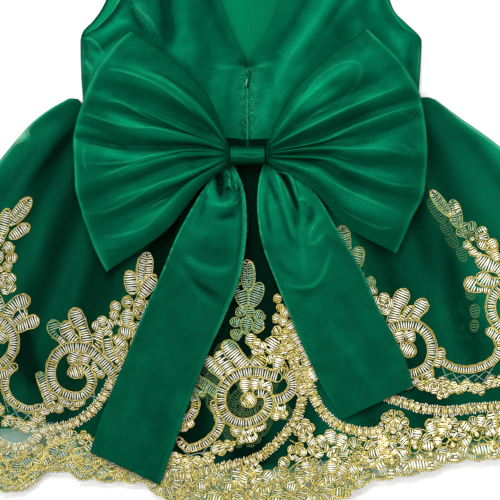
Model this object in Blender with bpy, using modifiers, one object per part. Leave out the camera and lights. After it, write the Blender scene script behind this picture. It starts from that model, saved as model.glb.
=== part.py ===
"""Lace formal dress, laid flat on a table with its back up.

Satin bodice with a V back and a centre-back zip, a gathered skirt of lining
and scalloped lace mesh, and a large satin bow with two loops, a knot and two
tails.  Metres, +Z up.  +Y points to the neck, +X to the right as the back is
seen, and the front of the dress rests on z = 0.

Outlines are given on a drawing grid of 0.8 mm: gx runs right, gy runs down.
"""
import math

import bpy
import bmesh
import numpy as np

# ---------------------------------------------------------------- dimensions
UNIT = 0.0008          # one drawing unit
GX0, GY0 = 262.37, 198.42   # grid point over the origin, the middle of the garment
MM = 0.001

WALL = 1.0             # mm, cloth wall
GAP = 0.3              # mm, between sewn pieces
SEAM = 0.45            # drawing units between bodice and skirt at the waist

Z_FRONT = 0.0                       # mm, lower face of the front panels
Z_FRONT_IN = WALL + GAP             # front linings
Z_BACK = 2 * (WALL + GAP)           # back panels, before their puff
Z_LACE_BACK = 3 * (WALL + GAP)      # back lace mesh, before its puff
PUFF_MAX = 3.4                      # mm, most air between two layers

FAN_X, FAN_Y = 235.0, -180.0        # grid point that the skirt folds radiate from

SKIRT_COLS = 44                     # columns of the skirt between its side gathers
LINING_COLS = (2, 46)               # columns of the whole grid the lining keeps
LINING_ROWS = 8                     # rows of that grid the lining keeps
LINING_END = 0.905                  # share of the length where the lining stops
SCALLOPS, SCALLOP_DEPTH = 22, 4.5   # lobes along the hem, depth in units

BOW_REST = 0.5                      # mm, bow above what it lies on
KNOT = dict(x=247.5, y=155.5, z=14.0, length=27.2, width=15.2, height=12.0)

ZIP = dict(x=247.6, top=66.0, foot=139.2, tape=17.0, chain=1.0, chain_top=76.0,
           strip_top=116.0, strip_end=146.4, strip=2.2)
PULL_TILT = 11.4                    # degrees, the tab hangs a little to the left
HINGE = dict(gx=249.4, gy=71.6, z=7.1)   # axis of the pull tab
BAIL_R, BAIL_WIRE = 1.3, 0.35       # mm

# ------------------------------------------------------------------- outlines
# Skirt: waist seam, side edges and hem, each a list of (gx, gy).
WAIST = [(83, 104), (120, 117), (160, 127), (205, 135.5), (248, 140), (300, 136),
         (345, 126), (385, 112), (419, 97)]
GATHER_LEFT = [(69, 97.5), (77, 98.2), (83, 104)]      # gathers bulging past the side
GATHER_RIGHT = [(419, 97), (427, 96.4), (436, 99)]
GATHER_U = 0.03                                        # share of the width they take
SIDE_LEFT = [(69, 97.5), (50, 108), (34, 120), (0, 159),
             (-40, 214), (-82, 290), (-115, 385)]
SIDE_RIGHT = [(436, 99), (460, 117), (483, 133), (500, 146),
              (545, 188), (590, 248), (620, 300), (640, 345)]
HEM = [(-115, 385), (-95, 425), (-60, 462), (-20, 485), (11, 494), (30, 489),
       (45, 476), (60, 473), (80, 481), (110, 484), (140, 485), (160, 499),
       (200, 509), (250, 512), (300, 510), (345, 500), (366, 486), (393, 480),
       (423, 475), (458, 464), (500, 460), (545, 441), (590, 405), (625, 368),
       (640, 345)]

# Bodice edges: v runs 0 at the shoulder, 0.72 at underarm and V point, 1 at the waist.
#                v     gx     gy
BACK_L_OUTER = [(0.00, 106.0, -111), (0.18, 116.5, -76), (0.36, 121.0, -38),
                (0.50, 119.5, -8), (0.56, 113.5, 8), (0.64, 98.0, 25),
                (0.72, 80.6, 40), (0.86, 81.0, 72), (1.00, 83.2, 104)]
BACK_L_INNER = [(0.00, 171.0, -115), (0.18, 188.5, -74), (0.36, 206.0, -34),
                (0.50, 220.0, 0), (0.56, 226.5, 19), (0.64, 235.5, 41),
                (0.72, 246.6, 62), (0.86, 246.6, 99), (1.00, 246.6, 139.6)]
BACK_R_INNER = [(0.00, 330.0, -115), (0.18, 314.0, -74), (0.36, 297.5, -34),
                (0.50, 282.5, 0), (0.56, 275.0, 19), (0.64, 263.0, 41),
                (0.72, 248.6, 62), (0.86, 248.6, 99), (1.00, 248.6, 139.6)]
BACK_R_OUTER = [(0.00, 395.0, -111), (0.18, 386.0, -76), (0.36, 381.5, -38),
                (0.50, 384.5, -8), (0.56, 390.5, 6), (0.64, 404.0, 26),
                (0.72, 421.4, 40), (0.86, 420.4, 68), (1.00, 418.8, 97)]
FRONT_L_OUTER = [(0.00, 105.5, -111), (0.18, 111.0, -76), (0.36, 113.0, -38),
                 (0.50, 109.5, -12), (0.56, 103.0, 5), (0.64, 93.0, 20),
                 (0.69, 82.0, 32), (0.72, 80.0, 40), (0.86, 80.6, 72), (1.00, 83.0, 104)]
FRONT_R_OUTER = [(0.00, 395.5, -111), (0.18, 389.0, -76), (0.36, 386.0, -38),
                 (0.50, 388.5, -8), (0.56, 394.0, 9), (0.64, 407.0, 23),
                 (0.69, 419.5, 35), (0.72, 422.0, 40), (0.86, 420.8, 68), (1.00, 419.0, 97)]
FRONT_NECK = [(171, -115), (175, -92), (191, -67), (218, -50), (250.5, -45),
              (283, -50), (310, -67), (326, -92), (330, -115)]

# Largest folds of the skirt: angle from straight down (degrees, + to the right),
# half width (degrees), height between lining and front (mm), height between
# mesh and lining (mm).
#               angle  width  lining  mesh
SKIRT_FOLDS = [(-30.0, 1.7, 1.6, 1.9),
               (-25.2, 1.9, 2.6, 2.2),
               (-19.6, 2.2, 2.9, 2.8),
               (-13.2, 2.3, 2.6, 3.0),
               (-7.0, 2.0, 3.0, 2.2),
               (-1.4, 1.9, 2.2, 2.6),
               (4.2, 2.1, 2.9, 2.4),
               (10.0, 2.0, 2.3, 2.9),
               (15.6, 2.2, 3.0, 2.3),
               (21.8, 2.3, 2.6, 3.0),
               (28.0, 2.0, 2.9, 2.4),
               (33.6, 1.8, 1.9, 2.0)]
# Puff of the skirt by distance below the waist: d (units), share.
SKIRT_PUFF = [(0, 0.05), (12, 0.32), (30, 0.92), (60, 1.0), (200, 0.86), (320, 0.6), (420, 0.42)]

# Largest folds of the back bodice, each a soft ridge from one point to another:
#                gx1   gy1   gx2  gy2  half width  height (mm)
BODICE_FOLDS = [(183, -70, 186, 45, 15, 1.5),
                (186, 45, 150, 84, 14, 1.2),
                (110, 60, 150, 92, 16, 1.3),
                (225, 70, 215, 128, 10, 0.8),
                (340, -30, 295, 62, 13, 1.6),
                (295, 62, 268, 118, 11, 1.4),
                (370, 10, 352, 70, 15, 1.1),
                (398, 50, 385, 95, 12, 0.9)]

# Bow loops.  A row for each crest or hollow, top edge to bottom edge: height of
# the ray at the knot (gy), its points at a third and two thirds of the way out,
# its end on the outer fold, and its height over the loop's floor in mm at
# 15, 40, 70 and 100 percent of the way.
#             neck   x1   y1     x2   y2     x3   y3     h15  h40  h70  h100
LOOP_LEFT = [(146.0, 209, 98, 174, 60, 132, 32, 1.0, 0.6, 0.4, 0.0),
             (148.0, 201, 107, 152, 77, 104, 62, 4.2, 6.6, 5.4, 1.6),
             (149.6, 196, 124, 142, 103, 92, 84, 1.2, 1.2, 1.8, 0.8),
             (151.0, 198, 137, 142, 127, 79, 120, 4.6, 7.0, 4.6, 1.8),
             (152.4, 192, 145, 130, 148, 75, 138, 1.4, 0.6, 0.6, 0.4),
             (154.0, 190, 150, 128, 163, 74.5, 166, 4.2, 5.6, 4.2, 1.8),
             (156.0, 185, 161, 135, 179, 80, 200, 1.2, 0.8, 1.0, 0.8),
             (157.8, 188, 174, 142, 191, 84, 218, 3.4, 4.8, 4.0, 1.4),
             (159.2, 192, 180, 150, 202, 90, 236, 2.0, 2.4, 2.2, 0.8),
             (160.8, 196, 178, 156, 215, 98, 253, 4.4, 7.2, 5.6, 1.6),
             (162.6, 200, 189, 168, 229, 108, 271, 2.6, 2.4, 1.0, 0.0)]
LOOP_RIGHT = [(146.0, 288, 99, 324, 61, 366, 29.5, 1.0, 0.6, 0.4, 0.0),
              (147.8, 300, 108, 345, 73, 390, 52, 2.6, 4.6, 4.6, 1.4),
              (149.2, 305, 118, 357, 90, 403, 67, 1.2, 2.4, 3.0, 1.2),
              (150.6, 308, 127, 358, 105, 412, 82, 5.0, 7.4, 5.4, 1.8),
              (152.0, 315, 137, 368, 114, 419, 98, 1.2, 0.6, 1.0, 0.8),
              (153.4, 320, 143, 374, 124, 422.5, 118, 2.2, 3.6, 3.2, 1.6),
              (155.0, 320, 148, 375, 149, 425.5, 150, 3.6, 4.8, 3.6, 1.6),
              (156.8, 318, 153, 372, 164, 425, 170, 1.2, 1.0, 1.6, 0.8),
              (158.2, 316, 159, 368, 180, 421.5, 193, 2.6, 3.6, 3.0, 1.4),
              (160.0, 312, 169, 358, 200, 411, 216, 4.4, 6.6, 4.6, 1.4),
              (162.0, 309, 185, 346, 227, 395, 253, 2.6, 2.4, 1.0, 0.0)]
LOOP_HSTATIONS = (0.0, 0.15, 0.40, 0.70, 1.0)

# Bow tails, a row for each cross-section: left edge, right edge, and the puff
# in the middle of the section (mm).
#               lx   ly   rx   ry   puff
TAIL_LEFT = [(229.5, 160, 234, 164.5, 0.0),
             (222, 167, 238, 174, 0.6),
             (212, 177, 243, 186, 1.6),
             (202, 191, 246, 203, 2.2),
             (189, 213, 247, 225, 2.0),
             (175, 240, 245, 250, 1.6),
             (164, 267, 240, 277, 1.2),
             (143, 314, 225, 316, 0.8),
             (128, 352, 208, 354, 0.6),
             (112, 390, 191, 398, 0.5),
             (100, 421, 177, 438, 0.4),
             (90, 452, 160, 485, 0.3)]
TAIL_RIGHT = [(264, 164, 270, 161.5, 0.0),
              (260.5, 173, 284, 166, 0.6),
              (258, 187, 301, 179, 1.8),
              (257, 204, 318, 197, 2.4),
              (259, 228, 334, 224, 2.0),
              (264, 250, 349, 249, 1.6),
              (274, 277, 363, 273, 1.2),
              (287, 309, 376, 303, 0.9),
              (304, 349, 392, 333, 0.7),
              (321, 384, 404, 357, 0.5),
              (333, 405, 410, 374, 0.4),
              (343, 419, 413, 386, 0.3)]


# ------------------------------------------------------------------ functions
def wx(gx):
    return (np.asarray(gx, float) - GX0) * UNIT


def wy(gy):
    return (GY0 - np.asarray(gy, float)) * UNIT


def ramp(t):
    """0 to 1, with level ends."""
    t = np.clip(t, 0.0, 1.0)
    return t * t * (3.0 - 2.0 * t)


def curve(xs, ys, x):
    """A smooth curve through a table's points that never overshoots them."""
    xs, ys, x = np.asarray(xs, float), np.asarray(ys, float), np.asarray(x, float)
    h = np.diff(xs)
    d = np.diff(ys) / h
    m = np.zeros(len(xs))
    m[0], m[-1] = d[0], d[-1]
    same = d[:-1] * d[1:] > 0
    w1, w2 = 2 * h[1:] + h[:-1], h[1:] + 2 * h[:-1]
    with np.errstate(divide="ignore", invalid="ignore"):
        harm = (w1 + w2) / (w1 / d[:-1] + w2 / d[1:])
    m[1:-1] = np.where(same, harm, 0.0)
    x = np.clip(x, xs[0], xs[-1])
    i = np.clip(np.searchsorted(xs, x, side="right") - 1, 0, len(h) - 1)
    t = (x - xs[i]) / h[i]
    t2, t3 = t * t, t * t * t
    return ((2 * t3 - 3 * t2 + 1) * ys[i] + (t3 - 2 * t2 + t) * h[i] * m[i]
            + (3 * t2 - 2 * t3) * ys[i + 1] + (t3 - t2) * h[i] * m[i + 1])


def path(points, t):
    """Points of an outline at t = 0..1 of its length."""
    p = np.asarray(points, float)
    s = np.concatenate([[0.0], np.cumsum(np.hypot(*np.diff(p, axis=0).T))])
    s /= s[-1]
    return curve(s, p[:, 0], t), curve(s, p[:, 1], t)


def coons(top, bottom, left, right, u, v):
    """Grid point between four edges, each an (x, y) function of 0..1."""
    tx, ty = top(u)
    bx, by = bottom(u)
    lx, ly = left(v)
    rx, ry = right(v)
    out = []
    for t, b, l, r, k in ((tx, bx, lx, rx, 0), (ty, by, ly, ry, 1)):
        c00, c10 = top(0.0)[k], top(1.0)[k]
        c01, c11 = bottom(0.0)[k], bottom(1.0)[k]
        out.append((1 - v) * t + v * b + (1 - u) * l + u * r
                   - ((1 - u) * (1 - v) * c00 + u * (1 - v) * c10
                      + (1 - u) * v * c01 + u * v * c11))
    return out[0], out[1]


def waist_y(gx):
    w = np.asarray(WAIST, float)
    return curve(w[:, 0], w[:, 1], gx)


def waist_fn(x0, x1):
    """Stretch of the waist seam from x0 to x1, at 0..1."""
    def f(u):
        x = x0 + (x1 - x0) * np.asarray(u, float)
        return x, waist_y(x)
    return f


def skirt_top(u):
    """Upper edge of the skirt: the waist seam, and the gathers past its ends."""
    u = np.asarray(u, float)
    k = GATHER_U
    lx, ly = path(GATHER_LEFT, np.clip(u / k, 0, 1))
    rx, ry = path(GATHER_RIGHT, np.clip((u - 1 + k) / k, 0, 1))
    mx, my = waist_fn(WAIST[0][0], WAIST[-1][0])(np.clip((u - k) / (1 - 2 * k), 0, 1))
    x = np.where(u < k, lx, np.where(u > 1 - k, rx, mx))
    y = np.where(u < k, ly, np.where(u > 1 - k, ry, my))
    return x, y


def skirt_xy(u, v, scallop=True):
    """Skirt outline and inside, u across and v down."""
    u, v = np.asarray(u, float), np.asarray(v, float)
    x, y = coons(skirt_top, lambda t: path(HEM, t),
                 lambda t: path(SIDE_LEFT, t), lambda t: path(SIDE_RIGHT, t), u, v)
    y = y + SEAM * (1 - v)
    if scallop:
        w = (u - GATHER_U) / (1 - 2 * GATHER_U)
        cut = SCALLOP_DEPTH * (1 - np.abs(np.cos(math.pi * SCALLOPS * w))) * ramp((v - 0.9) / 0.1)
        dx, dy = x - FAN_X, y - FAN_Y
        r = np.hypot(dx, dy)
        x, y = x - dx / r * cut, y - dy / r * cut
    return x, y


def skirt_share(gx, gy):
    """How far the skirt has puffed up at a point, 0 at the waist."""
    d = np.maximum(gy - waist_y(gx), 0.0)
    side = ramp((np.abs(gx - 248.0) - 20.0) / 80.0)
    d = d * (0.38 + 0.62 * side)
    t = np.asarray(SKIRT_PUFF, float)
    return curve(t[:, 0], t[:, 1], d)


def skirt_puffs(gx, gy):
    """Air under the back lining and under the back mesh, mm."""
    phi = np.degrees(np.arctan2(gx - FAN_X, gy - FAN_Y))
    a = np.zeros_like(phi)
    b = np.zeros_like(phi)
    for angle, width, lining, mesh in SKIRT_FOLDS:
        g = np.exp(-((phi - angle) / width) ** 2)
        a = a + lining * g
        b = b + mesh * g
    share = skirt_share(gx, gy)
    return (PUFF_MAX * np.tanh((a + 0.25) / PUFF_MAX) * share,
            PUFF_MAX * np.tanh((b + 0.25) / PUFF_MAX) * share)


def bodice_puff(gx, gy, outer_l, outer_r):
    """Air under the back bodice, mm: soft folds that fade to the side seams."""
    c = np.full_like(np.asarray(gx, float), 1.3)
    for x1, y1, x2, y2, w, h in BODICE_FOLDS:
        ax, ay = x2 - x1, y2 - y1
        t = np.clip(((gx - x1) * ax + (gy - y1) * ay) / (ax * ax + ay * ay), 0, 1)
        d = np.hypot(gx - x1 - t * ax, gy - y1 - t * ay)
        c = c + h * np.exp(-(d / w) ** 2)
    edge = ramp(np.minimum(gx - outer_l, outer_r - gx) / 14.0)
    shoulder = ramp((gy + 115.0) / 22.0)
    zip_side = ramp((np.abs(gx - ZIP["x"]) - 3.0) / 12.0)
    c = 1.3 + (c - 1.3) * zip_side
    return np.minimum(c, PUFF_MAX) * edge * shoulder


def rest_height(gx, gy):
    """Height (mm) that clears every fold of the bodice and skirt."""
    bodice = 7.4
    skirt = Z_LACE_BACK + WALL + 0.4 + 2 * PUFF_MAX * skirt_share(gx, gy)
    k = ramp((gy - waist_y(gx) + 10.0) / 20.0)
    side = ramp((np.abs(gx - 248.0) - 20.0) / 30.0)
    near = bodice * side + (1 - side) * 6.4
    return np.maximum(near * (1 - k), skirt * 1.0)


def loop_grid(rays, s, t, neck_x):
    """Grid point and ridge height of a bow loop: s outwards, t top to bottom."""
    r = np.asarray(rays, float)
    rows = np.linspace(0, 1, len(r))
    cols = [curve(rows, r[:, k], t) for k in range(r.shape[1])]
    neck_y, x1, y1, x2, y2, x3, y3, h15, h40, h70, h100 = cols
    stations = np.array([0, 1 / 3, 2 / 3, 1.0])
    gx, gy, h = np.zeros_like(s), np.zeros_like(s), np.zeros_like(s)
    it = np.nditer(s, flags=["multi_index"])
    for val in it:
        i = it.multi_index
        gx[i] = curve(stations, [neck_x, x1[i], x2[i], x3[i]], float(val))
        gy[i] = curve(stations, [neck_y[i], y1[i], y2[i], y3[i]], float(val))
        h[i] = curve(LOOP_HSTATIONS, [0.3, h15[i], h40[i], h70[i], h100[i]], float(val))
    return gx, gy, h


# -------------------------------------------------------------------- building
def clear_scene():
    for o in list(bpy.data.objects):
        bpy.data.objects.remove(o, do_unlink=True)


def make_collection(name):
    c = bpy.data.collections.get(name) or bpy.data.collections.new(name)
    if c.name not in [k.name for k in bpy.context.scene.collection.children]:
        bpy.context.scene.collection.children.link(c)
    return c


def make_material(name, rgb, rough, metal=0.0, alpha=1.0):
    m = bpy.data.materials.new(name)
    m.use_nodes = True
    b = m.node_tree.nodes["Principled BSDF"]
    b.inputs["Base Color"].default_value = (*rgb, 1.0)
    b.inputs["Roughness"].default_value = rough
    b.inputs["Metallic"].default_value = metal
    b.inputs["Alpha"].default_value = alpha
    m.diffuse_color = (*rgb, 1.0)
    return m


def add_object(name, mesh, rgb, rough, coll, metal=0.0, smooth=True):
    o = bpy.data.objects.new(name, mesh)
    coll.objects.link(o)
    mesh.materials.append(make_material("mat_" + name, rgb, rough, metal))
    if smooth:
        mesh.shade_smooth()
        mesh.set_sharp_from_angle(angle=math.radians(40))
    return o


def thicken(o, thickness_mm=WALL):
    m = o.modifiers.new("wall", "SOLIDIFY")
    m.thickness = thickness_mm * MM
    m.offset = 1.0
    m.use_rim = True
    return m


def grid_mesh(name, x, y, z):
    """Open sheet through a grid of points (rows, columns), facing up."""
    rows, cols = x.shape
    verts = np.stack([x, y, z], axis=-1).reshape(-1, 3)
    faces = []
    for r in range(rows - 1):
        for c in range(cols - 1):
            a = r * cols + c
            faces.append((a, a + cols, a + cols + 1, a + 1))
    me = bpy.data.meshes.new(name)
    me.from_pydata([tuple(p) for p in verts], [], faces)
    me.update()
    return me


def flat_mesh(name, gx, gy, z_mm):
    """Open flat sheet inside an outline that runs anticlockwise seen from above."""
    me = bpy.data.meshes.new(name)
    bm = bmesh.new()
    vs = [bm.verts.new((float(wx(a)), float(wy(b)), z_mm * MM)) for a, b in zip(gx, gy)]
    bm.faces.new(vs)
    bm.faces.ensure_lookup_table()
    bm.normal_update()
    if bm.faces[0].normal.z < 0:
        bmesh.ops.reverse_faces(bm, faces=bm.faces[:])
    bmesh.ops.triangulate(bm, faces=bm.faces[:])
    bm.to_mesh(me)
    bm.free()
    return me


GREEN = (0.002, 0.170, 0.082)
GREEN_IN = (0.002, 0.225, 0.095)
GREEN_DARK = (0.004, 0.045, 0.022)
GREEN_MESH = (0.010, 0.120, 0.060)


def edge_fn(table):
    t = np.asarray(table, float)
    return lambda v: (curve(t[:, 0], t[:, 1], v), curve(t[:, 0], t[:, 2], v))


def line_fn(a, b):
    return lambda u: (a[0] + (b[0] - a[0]) * np.asarray(u, float),
                      a[1] + (b[1] - a[1]) * np.asarray(u, float))


def bodice_front(name, z_mm, inset, rgb, coll):
    """Flat front panel: neck, armholes, side seams and waist."""
    v = np.array([0, .09, .18, .27, .36, .43, .50, .56, .60, .64, .69, .72, .79, .86, .93, 1.0])
    lx, ly = edge_fn(FRONT_L_OUTER)(v)
    rx, ry = edge_fn(FRONT_R_OUTER)(v)
    wxs = np.linspace(83.0, 419.0, 15)[1:-1]
    nx, ny = path(FRONT_NECK, np.linspace(0, 1, 17))
    gx = np.concatenate([lx + inset, wxs, rx[::-1] - inset, nx[::-1]])
    gy = np.concatenate([ly, waist_y(wxs), ry[::-1], ny[::-1]])
    gy = np.where(gy > 90, gy - inset, gy)
    o = add_object(name, flat_mesh(name, gx, gy, z_mm), rgb, 0.45, coll, smooth=False)
    thicken(o)
    return o


def bodice_back(name, inner, outer, left, rgb, coll):
    """Half of the back: V edge and zip edge on one side, armhole and side seam on the other."""
    v = np.array([0, .09, .18, .27, .36, .44, .50, .56, .60, .64, .68, .72, .80, .90, 1.0])
    u = np.linspace(0, 1, 11)
    first, last = (outer, inner) if left else (inner, outer)
    lf, rf = edge_fn(first), edge_fn(last)
    top = line_fn((first[0][1], first[0][2]), (last[0][1], last[0][2]))
    bottom = waist_fn(first[-1][1], last[-1][1])
    V, Ug = np.meshgrid(v, u, indexing="ij")
    gx, gy = coons(top, bottom, lf, rf, Ug, V)
    # air under the panel fades to its own outer edge
    ox, _ = edge_fn(outer)(V)
    ol = ox if left else np.full_like(gx, -1e3)
    orr = ox if not left else np.full_like(gx, 1e4)
    z = Z_BACK + bodice_puff(gx, gy, ol, orr)
    o = add_object(name, grid_mesh(name, wx(gx), wy(gy), z * MM), rgb, 0.42, coll)
    thicken(o)
    return o


def skirt_front(name, z_mm, u, v1, scallop, rgb, coll):
    """Flat front layer of the skirt."""
    v = np.linspace(0, v1, 12)
    n = len(u)
    parts = [skirt_xy(u[::-1], np.zeros(n), scallop),
             skirt_xy(np.full(11, u[0]), v[1:], scallop),
             skirt_xy(u[1:], np.full(n - 1, v1), scallop),
             skirt_xy(np.full(10, u[-1]), v[1:-1][::-1], scallop)]
    gx = np.concatenate([p[0] for p in parts])
    gy = np.concatenate([p[1] for p in parts])
    o = add_object(name, flat_mesh(name, gx, gy, z_mm), rgb, 0.6, coll, smooth=False)
    thicken(o)
    return o


def skirt_columns():
    k = GATHER_U
    return np.concatenate([[0.0, k / 2], np.linspace(k, 1 - k, SKIRT_COLS + 1), [1 - k / 2, 1.0]])


def skirt_grid():
    """Shared grid of both back layers of the skirt."""
    u = skirt_columns()
    v = np.concatenate([[0, .035, .09], np.linspace(0.20, LINING_END, LINING_ROWS - 3), [0.96, 1.0]])
    V, Ug = np.meshgrid(v, u, indexing="ij")
    gx, gy = skirt_xy(Ug, V)
    return gx, gy


def skirt_back(coll):
    gx, gy = skirt_grid()
    under, over = skirt_puffs(gx, gy)
    # the mesh hangs out past the lining, so its own rim comes down to it
    rows, cols = gx.shape
    z_lining = Z_BACK + 0.08 + under
    z_mesh = Z_LACE_BACK + 0.16 + under + over
    c0, c1 = LINING_COLS
    r1 = LINING_ROWS
    lining = add_object("skirt_lining_back",
                        grid_mesh("skirt_lining_back", wx(gx[:r1, c0:c1 + 1]),
                                  wy(gy[:r1, c0:c1 + 1]), z_lining[:r1, c0:c1 + 1] * MM),
                        GREEN_DARK, 0.6, coll)
    thicken(lining)
    mesh = add_object("lace_overlay_back",
                      grid_mesh("lace_overlay_back", wx(gx), wy(gy), z_mesh * MM),
                      GREEN_MESH, 0.6, coll)
    thicken(mesh)
    return lining, mesh


def bow_loop(name, rays, neck_x, out, coll):
    """A wide band folded over at its outer end, both layers gathered at the knot."""
    s_bot = np.array([0.0, 0.14, 0.38, 0.70, 1.0])
    s_top = np.array([1.0, 0.85, 0.66, 0.46, 0.28, 0.12, 0.0])
    n_t = 2 * (len(rays) - 1) + 1
    t = np.linspace(0, 1, n_t)

    def layer(svals, lower):
        S, T = np.meshgrid(svals, t, indexing="ij")
        gx, gy, h = loop_grid(rays, S, T, neck_x)
        floor = rest_height(gx, gy) + BOW_REST + WALL
        arch = np.sin(math.pi * T) ** 0.7
        neck_b = 11.4 + 1.8 * arch
        k = ramp(S / 0.22)
        zb = neck_b * (1 - k) + np.maximum(floor, neck_b - 2.0 * k) * k + h
        crest = np.clip(h / 6.0, 0, 1)
        gap = (1.2 + 2.4 * arch) * (1 - k) + (1.5 + 1.6 * crest) * k
        return wx(gx), wy(gy), (zb if lower else zb + gap) * MM

    xb, yb, zb = layer(s_bot, True)
    xt, yt, zt = layer(s_top, False)
    # the fold: a half round from the lower layer's end to the upper layer's end
    ex, ey = xb[-1] - xb[-2], yb[-1] - yb[-2]
    ln = np.hypot(ex, ey)
    rad = (zt[0] - zb[-1]) / 2
    fold = []
    for ang in (50, 90, 130):
        a = math.radians(ang)
        fold.append((xb[-1] + ex / ln * rad * math.sin(a),
                     yb[-1] + ey / ln * rad * math.sin(a),
                     zb[-1] + rad * (1 - math.cos(a))))
    x = np.vstack([xb] + [f[0][None] for f in fold] + [xt])
    y = np.vstack([yb] + [f[1][None] for f in fold] + [yt])
    z = np.vstack([zb] + [f[2][None] for f in fold] + [zt])
    me = grid_mesh(name, x, y, z)
    if out > 0:
        me.flip_normals()
    # faces look out of the loop: up on its upper layer
    me.update()
    top_face = me.polygons[len(me.polygons) - 1 - n_t // 2]
    if top_face.normal.z < 0:
        me.flip_normals()
    o = add_object(name, me, GREEN, 0.42, coll)
    thicken(o)
    return o


def bow_tail(name, rows_table, coll):
    r = np.asarray(rows_table, float)
    n = len(r)
    rows = np.concatenate([np.arange(0, 6, 0.5), np.arange(6, n)])
    cols = [curve(np.arange(n), r[:, k], rows) for k in range(5)]
    u = np.linspace(0, 1, 6)
    gx = cols[0][:, None] * (1 - u) + cols[2][:, None] * u
    gy = cols[1][:, None] * (1 - u) + cols[3][:, None] * u
    z = rest_height(gx, gy) + BOW_REST + cols[4][:, None] * np.sin(math.pi * u)[None, :]
    # the gathered top tucks in under the knot
    o = add_object(name, grid_mesh(name, wx(gx), wy(gy), z * MM), GREEN, 0.42, coll)
    thicken(o)
    return o


def bow_knot(coll):
    """Band round the gathered middle; band and gathers share one rounded solid."""
    half, ry = KNOT["length"] / 2, KNOT["width"] / 2
    profile = [(-half, 0.0), (-half, ry * 0.80), (-half + 0.5, ry * 0.93), (-half + 1.8, ry * 0.985),
               (-half * 0.45, ry * 0.965), (0.0, ry), (half * 0.45, ry * 0.97),
               (half - 1.8, ry * 0.99), (half - 0.5, ry * 0.94), (half, ry * 0.80), (half, 0.0)]
    me = bpy.data.meshes.new("bow_knot")
    me.from_pydata([(x * MM, r * MM, 0.0) for x, r in profile], [(i, i + 1) for i in range(len(profile) - 1)], [])
    o = add_object("bow_knot", me, GREEN, 0.42, coll)
    m = o.modifiers.new("turn", "SCREW")
    m.axis = "X"
    m.angle = 2 * math.pi
    m.steps = m.render_steps = 18
    m.use_merge_vertices = True
    m.merge_threshold = 0.00001
    m.use_normal_calculate = True
    o.location = (float(wx(KNOT["x"])), float(wy(KNOT["y"])), KNOT["z"] * MM)
    # flatten the turned roll to its real height
    bpy.context.view_layer.update()
    dg = bpy.context.evaluated_depsgraph_get()
    solid = bpy.data.meshes.new_from_object(o.evaluated_get(dg))
    o.modifiers.clear()
    for v in solid.vertices:
        v.co.z *= KNOT["height"] / KNOT["width"]
    bm = bmesh.new()
    bm.from_mesh(solid)
    bmesh.ops.remove_doubles(bm, verts=bm.verts[:], dist=0.00001)
    bmesh.ops.recalc_face_normals(bm, faces=bm.faces[:])
    bm.to_mesh(solid)
    bm.free()
    solid.shade_smooth()
    solid.set_sharp_from_angle(angle=math.radians(50))
    o.data = solid
    return o


def box(name, x0, x1, y0, y1, z0, z1, coll):
    """Box from its faces, metres in x and y, mm in z."""
    bpy.ops.mesh.primitive_cube_add(size=1.0)
    o = bpy.context.active_object
    o.name = name
    o.data.name = name
    for c in list(o.users_collection):
        c.objects.unlink(o)
    coll.objects.link(o)
    for v in o.data.vertices:
        v.co.x = (x0 + x1) / 2 + v.co.x * (x1 - x0)
        v.co.y = (y0 + y1) / 2 + v.co.y * (y1 - y0)
        v.co.z = ((z0 + z1) / 2 + v.co.z * (z1 - z0)) * MM
    return o


def union(o, cutter):
    cutter.hide_render = True
    cutter.display_type = "WIRE"
    m = o.modifiers.new("join_" + cutter.name, "BOOLEAN")
    m.operation = "UNION"
    m.object = cutter
    m.solver = "EXACT"


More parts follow.
